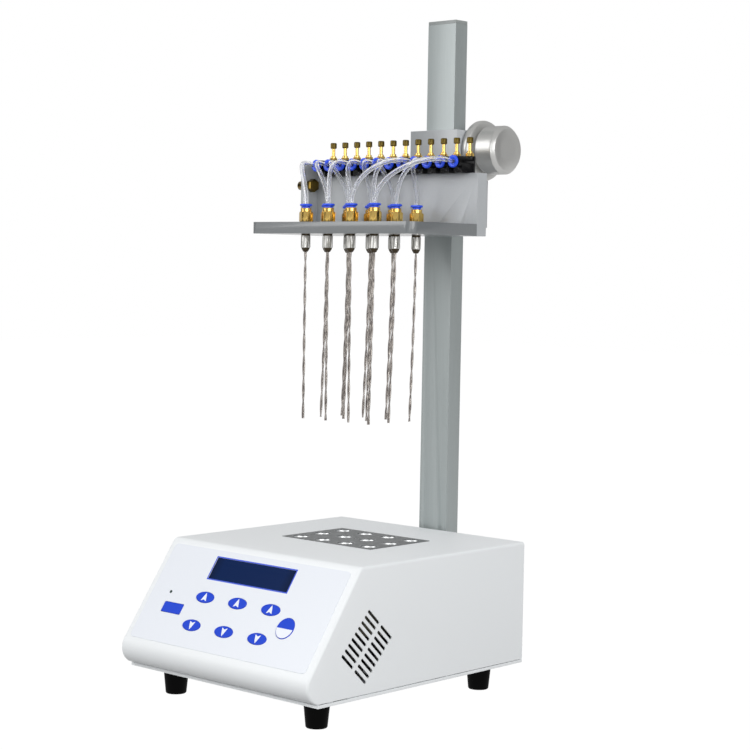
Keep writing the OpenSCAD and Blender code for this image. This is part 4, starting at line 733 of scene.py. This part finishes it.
knob_profile = [
    (4.1 * mm, 0), (24.6 * mm, 0), (26.1 * mm, 0.5 * mm), (26.8 * mm, 1.9 * mm), (26.8 * mm, 4.6 * mm),
    (26.2 * mm, 6.2 * mm), (24.8 * mm, 7 * mm), (22 * mm, 7.4 * mm), (18.6 * mm, 7.8 * mm),
    (18.6 * mm, 9.4 * mm), (21.2 * mm, 11.4 * mm), *grooved(21.5 * mm, 11.6 * mm, 27.6 * mm),
    (21.5 * mm, knob_l - 3.4 * mm), (21.2 * mm, knob_l - 3 * mm), (18.6 * mm, knob_l - 0.15 * mm),
    (18.3 * mm, knob_l), (9 * mm, knob_l), (0, knob_l),
]
knob_angle = np.linspace(0, 2 * math.pi, 128, endpoint=False)
upright_knob = turned(knob_profile, angle=knob_angle)
knob_grid = np.stack([upright_knob[..., 2] + knob_lo.x, upright_knob[..., 0] + knob_axis[0],
                      upright_knob[..., 1] + knob_axis[1]], -1)
piece("turned_knob", [knob_grid], "knob", turned_alloy, ("knob",), smooth=50)

# The valves: glossy bodies of moulded black nylon, screwed in a row into the top of the gas
# chamber, each with an outlet at its front.
black_nylon, tree, shader = material("glossy_black_nylon", {
    "Base Color": linear("040406"), "Roughness": 0.24, "Specular IOR Level": 0.2})
grained(tree, shader, 0.8 * mm, 0.00001)
softened("valve_bodies", 0.5 * mm, black_nylon)

# The push-in collars: bright blue acetal release rings. Each has a narrow neck in the port and
# a wider rim to press, with a rounded edge.
blue_acetal, tree, shader = material("blue_acetal", {
    "Base Color": linear("2552EC"), "Roughness": 0.3, "Specular IOR Level": 0.4})
grained(tree, shader, 0.4 * mm, 0.000004)
collar_profile = [
    (2.15 * mm, 0), (3.7 * mm, 0), (3.7 * mm, 1.4 * mm), (4.9 * mm, 1.6 * mm), (5.35 * mm, 2 * mm),
    (5.35 * mm, 2.9 * mm), (5 * mm, 3.35 * mm), (4.4 * mm, 3.55 * mm), (2.9 * mm, 3.3 * mm),
    (2.15 * mm, 2.8 * mm),
]
plate_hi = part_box("needle_plate")[1]
hex_h, collar_l = 12.2 * mm, 3.6 * mm
fitting_top = plate_hi.z + hex_h
valve_count, valve_pitch, outlet_reach, outlet_rise = 12, 14.5 * mm, 19.5 * mm, 9.1 * mm
valve_x = [(n - (valve_count - 1) / 2) * valve_pitch for n in range(valve_count)]
valve_y, chamber_top = rear_y - 48 * mm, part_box("gas_chamber")[1].z
outlet_y, outlet_z = valve_y - outlet_reach, chamber_top + outlet_rise
upright_collar = turned(collar_profile, angle=turn_angle[::2])
forward_collar = np.stack([upright_collar[..., 0], -upright_collar[..., 2], upright_collar[..., 1]], -1)
collars = [upright_collar + np.array([x, y, fitting_top]) for x, y in well_at]
collars += [forward_collar + np.array([x, outlet_y, outlet_z]) for x in valve_x]
piece("release_collars", collars, "head", blue_acetal, ("push_in_collars",), closed=True)

# The brass: needle fittings with a chamfered hexagon and a round shoulder, and the lock nuts of
# the valves. Turned and polished, so it has sharp highlights and a warm dark side.
polished_brass, tree, shader = material("polished_brass", {"Metallic": 1.0, "Roughness": 0.14})
grain = grained(tree, shader, 0.7 * mm, 0.00001, (1, 1, 0.3))
mottled(tree, shader, grain, "D2A548", "F2D688")
hex_angle = np.linspace(0, 2 * math.pi, 72, endpoint=False)


def hexagonal(profile, flats, centre):
    """A hexagon bar cut by a turned profile: each ring is the lesser of the hexagon, whose flats
    lie at that distance across, and the circle of the profile's radius."""
    radius, height = np.array(profile, float).T[:, :, None]
    from_flat = (hex_angle + math.pi / 6) % (math.pi / 3) - math.pi / 6
    reach = np.minimum(radius, flats / 2 / np.cos(from_flat))
    x, y = reach * np.cos(hex_angle), reach * np.sin(hex_angle)
    return np.stack([x, y, np.broadcast_to(height, x.shape)], -1) + np.array(centre)


hex_af = 10.6 * mm
fitting_profile = [
    (0, -9.9 * mm), (2.9 * mm, -9.9 * mm), (2.9 * mm, 0), (5.2 * mm, 0), (6.12 * mm, 0.9 * mm),
    (6.12 * mm, 8.2 * mm), (5.3 * mm, 9 * mm), (4.7 * mm, 9.2 * mm), (4.7 * mm, 11.7 * mm),
    (4.4 * mm, hex_h), (0, hex_h),
]
fittings = [hexagonal(fitting_profile, hex_af, (x, y, plate_hi.z)) for x, y in well_at]
piece("hexagon_fittings", fittings, "head", polished_brass, ("needle_fittings",), smooth=25)
nut_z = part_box("valve_nuts")[0].z
nut_profile = [
    (1.58 * mm, 0), (3.2 * mm, 0), (3.6 * mm, 0.3 * mm), (3.6 * mm, 2.3 * mm), (3.2 * mm, 2.6 * mm),
    (2.5 * mm, 2.6 * mm), (2.5 * mm, 3.9 * mm), (2.2 * mm, 4.3 * mm), (1.58 * mm, 4.3 * mm),
]
nuts = [hexagonal(nut_profile, 6.3 * mm, (x, valve_y, nut_z)) for x in valve_x]
piece("lock_nuts", nuts, "head", polished_brass, ("valve_nuts",), closed=True, smooth=25)

# The gas inlet: a brass spigot and its hexagon, gone dark bronze, with polished edges. It sits
# in the plate at the left end of the chamber.
dark_bronze, tree, shader = material("darkened_bronze", {"Metallic": 1.0, "Roughness": 0.24})
grain = grained(tree, shader, 1.2 * mm, 0.00002, (1, 1, 1), 4.0)
mottled(tree, shader, grain, "3A3018", "8C7334")
softened("gas_inlet", 0.35 * mm, dark_bronze)

# The valve screws: bright brass stems under knurled heads, gone dark olive from handling. Each
# turns in its valve and sets the flow to one needle.
aged_brass, tree, shader = material("aged_brass", {"Metallic": 0.9, "Roughness": 0.38})
grain = grained(tree, shader, 0.6 * mm, 0.00002)
mottled(tree, shader, grain, "3E3614", "7A6630")
knurl_count, knurl_depth, screw_head_h = 48, 0.05, 5.2 * mm
knurl_angle = np.linspace(0, 2 * math.pi, knurl_count, endpoint=False)
knurl = 1 - knurl_depth * (np.arange(knurl_count) % 2)
for number, x in enumerate(valve_x, 1):
    node = f"valve_screw_{number:02d}"
    low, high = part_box(node)
    head_z = high.z - screw_head_h
    stem = [(0, low.z), (1.45 * mm, low.z), (1.45 * mm, head_z + 0.2 * mm), (0, head_z + 0.2 * mm)]
    head = [(0, head_z), (2.2 * mm, head_z), (2.8 * mm, head_z + 0.6 * mm), (2.8 * mm, high.z - 0.8 * mm),
            (2.3 * mm, high.z - 0.1 * mm), (1.2 * mm, high.z), (0, high.z)]
    grid = turned(head, (0, 0, 0), knurl_angle)
    grid[2:4, :, :2] *= knurl[:, None]
    piece(node + "_head", [grid + np.array([x, valve_y, 0])], node, aged_brass, (node,))
    shank = turned(stem, (x, valve_y, 0), knurl_angle[::2])
    piece(node + "_stem", [shank], node, polished_brass, ())

# The needle chucks: nickel-plated collet nuts with fluted sides and a dark tapered nose. They
# hang below the plate, on the ends of the fittings.
nickel_with_painted_reflections, tree, shader = material("nickel_with_painted_reflections", {"Metallic": 0.5, "Roughness": 0.16})
grain = grained(tree, shader, 0.8 * mm, 0.00003, (1, 1, 0.06), 1.0)
# Painted reflections: hard upright streaks of dark grey and near white in the nickel's colour.
mottled(tree, shader, grain, "8E8C86", "FFFEFA", 0.1)
dark_nose, tree, shader = material("browned_steel", {"Metallic": 0.8, "Roughness": 0.35})
grain = grained(tree, shader, 0.5 * mm, 0.00001)
mottled(tree, shader, grain, "2A241C", "4A4030")
chuck_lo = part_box("needle_chucks")[0]
cone_h, barrel_top, neck_top = 3.5 * mm, 13.8 * mm, 15.3 * mm
flute_angle = np.linspace(0, 2 * math.pi, 80, endpoint=False)
flute = 1 - 0.1 * np.clip(np.cos(flute_angle * 10), 0, 1) ** 2
chuck_profile = [
    (0, cone_h), (3.8 * mm, cone_h), (4.1 * mm, cone_h + 0.3 * mm),
    (4.1 * mm, barrel_top - 0.2 * mm), (3.9 * mm, barrel_top), (0, barrel_top),
]
barrels = []
for x, y in well_at:
    grid = turned(chuck_profile, (0, 0, 0), flute_angle)
    grid[2:4, :, :2] *= flute[:, None]
    barrels.append(grid + np.array([x, y, chuck_lo.z]))
piece("fluted_chucks", barrels, "head", nickel_with_painted_reflections, ("needle_chucks",))
nose_profile = [(0, 0), (1.9 * mm, 0), (2.2 * mm, 0.4 * mm), (3.4 * mm, 2.4 * mm), (3.7 * mm, cone_h),
                (0, cone_h)]
# The neck: a dark band at the top of each barrel, just under the plate, in the nose's tone.
neck_profile = [(0, barrel_top), (3.8 * mm, barrel_top), (3.8 * mm, neck_top), (0, neck_top)]
noses = [turned(profile, (x, y, chuck_lo.z)) for x, y in well_at
         for profile in (nose_profile, neck_profile)]
piece("chuck_noses", noses, "head", dark_nose, ())

# The needles: drawn stainless tube of small bore, twisted in pairs for stiffness. Each pair hangs
# from its chuck, and most tips have bent a little to one side.
needle_steel_painted_highlights, tree, shader = material("drawn_stainless_tube_painted_highlights", {"Metallic": 1.0, "Roughness": 0.26})
grain = grained(tree, shader, 1.5 * mm, 0.00001, (1, 1, 0.3))
# Painted highlights: the light tone, in streaks along each strand, stands for highlights on the darker
# steel.
mottled(tree, shader, grain, "5E5856", "B4AEA8", 0.2)
needle_lo, needle_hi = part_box("needles")
strand_r, strand_out, lay = 0.64 * mm, 0.6 * mm, 40 * mm
start_turn, lean_share, lean_power = 1.3, 0.7, 1.4
lean = np.array([[0, 0.4, 0.5, -2.1], [-3.2, -2.6, -2.4, -3.1], [-3, -4, -3.5, -3]]) * mm
needle_l = needle_hi.z - needle_lo.z
strand_steps = 90
strand_z = np.linspace(0, needle_l, strand_steps)[:, None]
strand_round = np.linspace(0, 2 * math.pi, 10, endpoint=False)[None, :]
strands = []
for number, (x, y) in enumerate(well_at):
    for side in (0, 1):
        twist = 2 * math.pi * strand_z / lay + math.pi * side + number * start_turn
        bend = lean_share * lean[divmod(number, 4)] * (1 - strand_z / needle_l) ** lean_power
        centre_x = x + strand_out * np.cos(twist) + bend
        centre_y = y + strand_out * np.sin(twist) + bend
        grid = np.stack(np.broadcast_arrays(centre_x + strand_r * np.cos(strand_round),
                                            centre_y + strand_r * np.sin(strand_round),
                                            needle_lo.z + strand_z), -1)
        ends = [np.repeat(grid[n:n + 1].mean(1, keepdims=True), grid.shape[1], 1) for n in (0, -1)]
        strands.append(np.concatenate([ends[0], grid, ends[1]]))
piece("twisted_needles", strands, "head", needle_steel_painted_highlights, ("needles",))

# The gas tubes: clear soft polyurethane, 4 mm outside with a 2.5 mm bore. Each leaves its valve
# forwards, arches and drops into its fitting on a cubic curve with four handles, and shows
# bright edges round a clear middle.
clear_tube, tree, shader = material("clear_polyurethane", {
    "Base Color": linear("FBFCFF"), "Roughness": 0.04, "IOR": 1.33, "Transmission Weight": 0.95})
grained(tree, shader, 5 * mm, 0.000004)
tube_r, bore_r = 2 * mm, 1.25 * mm
throw, rise, pull, stub = 30 * mm, 7 * mm, 26 * mm, 0.5 * mm
share = np.linspace(0, 1, 48)[:, None]
tube_ring = np.linspace(0, 2 * math.pi, 16, endpoint=False)
tubes = []
for well, (x, y) in enumerate(well_at):
    row, col = divmod(well, 4)
    valve = col * 3 + (row if col < 2 else 2 - row)
    start = np.array([valve_x[valve], outlet_y, outlet_z])
    end = np.array([x, y, fitting_top])
    handles = (start + (0, -collar_l - stub, 0), start + (0, -collar_l - throw, rise),
               end + (0, 0, collar_l + pull), end + (0, 0, collar_l + stub))
    weights = ((1 - share) ** 3, 3 * (1 - share) ** 2 * share, 3 * (1 - share) * share ** 2, share ** 3)
    route = np.concatenate([start[None], sum(w * h for w, h in zip(weights, handles)), end[None]])
    way = np.gradient(route, axis=0)
    way /= np.linalg.norm(way, axis=1, keepdims=True)
    side = np.cross(way, (1.0, 0, 0))
    side /= np.linalg.norm(side, axis=1, keepdims=True)
    other = np.cross(side, way)
    spokes = (np.cos(tube_ring)[None, :, None] * side[:, None]
              + np.sin(tube_ring)[None, :, None] * other[:, None])
    outer, inner = route[:, None] + tube_r * spokes, route[:, None] + bore_r * spokes
    tubes.append(np.concatenate([outer, inner[::-1]]))
piece("clear_tubes", tubes, "head", clear_tube, ("gas_tubes",), closed=True, smooth=60)

# The rear of the housing: mains inlet, switch frame and rocker, moulded in black with a fine
# spark-eroded texture.
black_abs, tree, shader = material("textured_black_moulding", {
    "Base Color": linear("17171A"), "Roughness": 0.45})
grained(tree, shader, 0.3 * mm, 0.00001)
for node in ("mains_inlet", "switch_frame", "power_rocker"):
    softened(node, 0.3 * mm, black_abs)
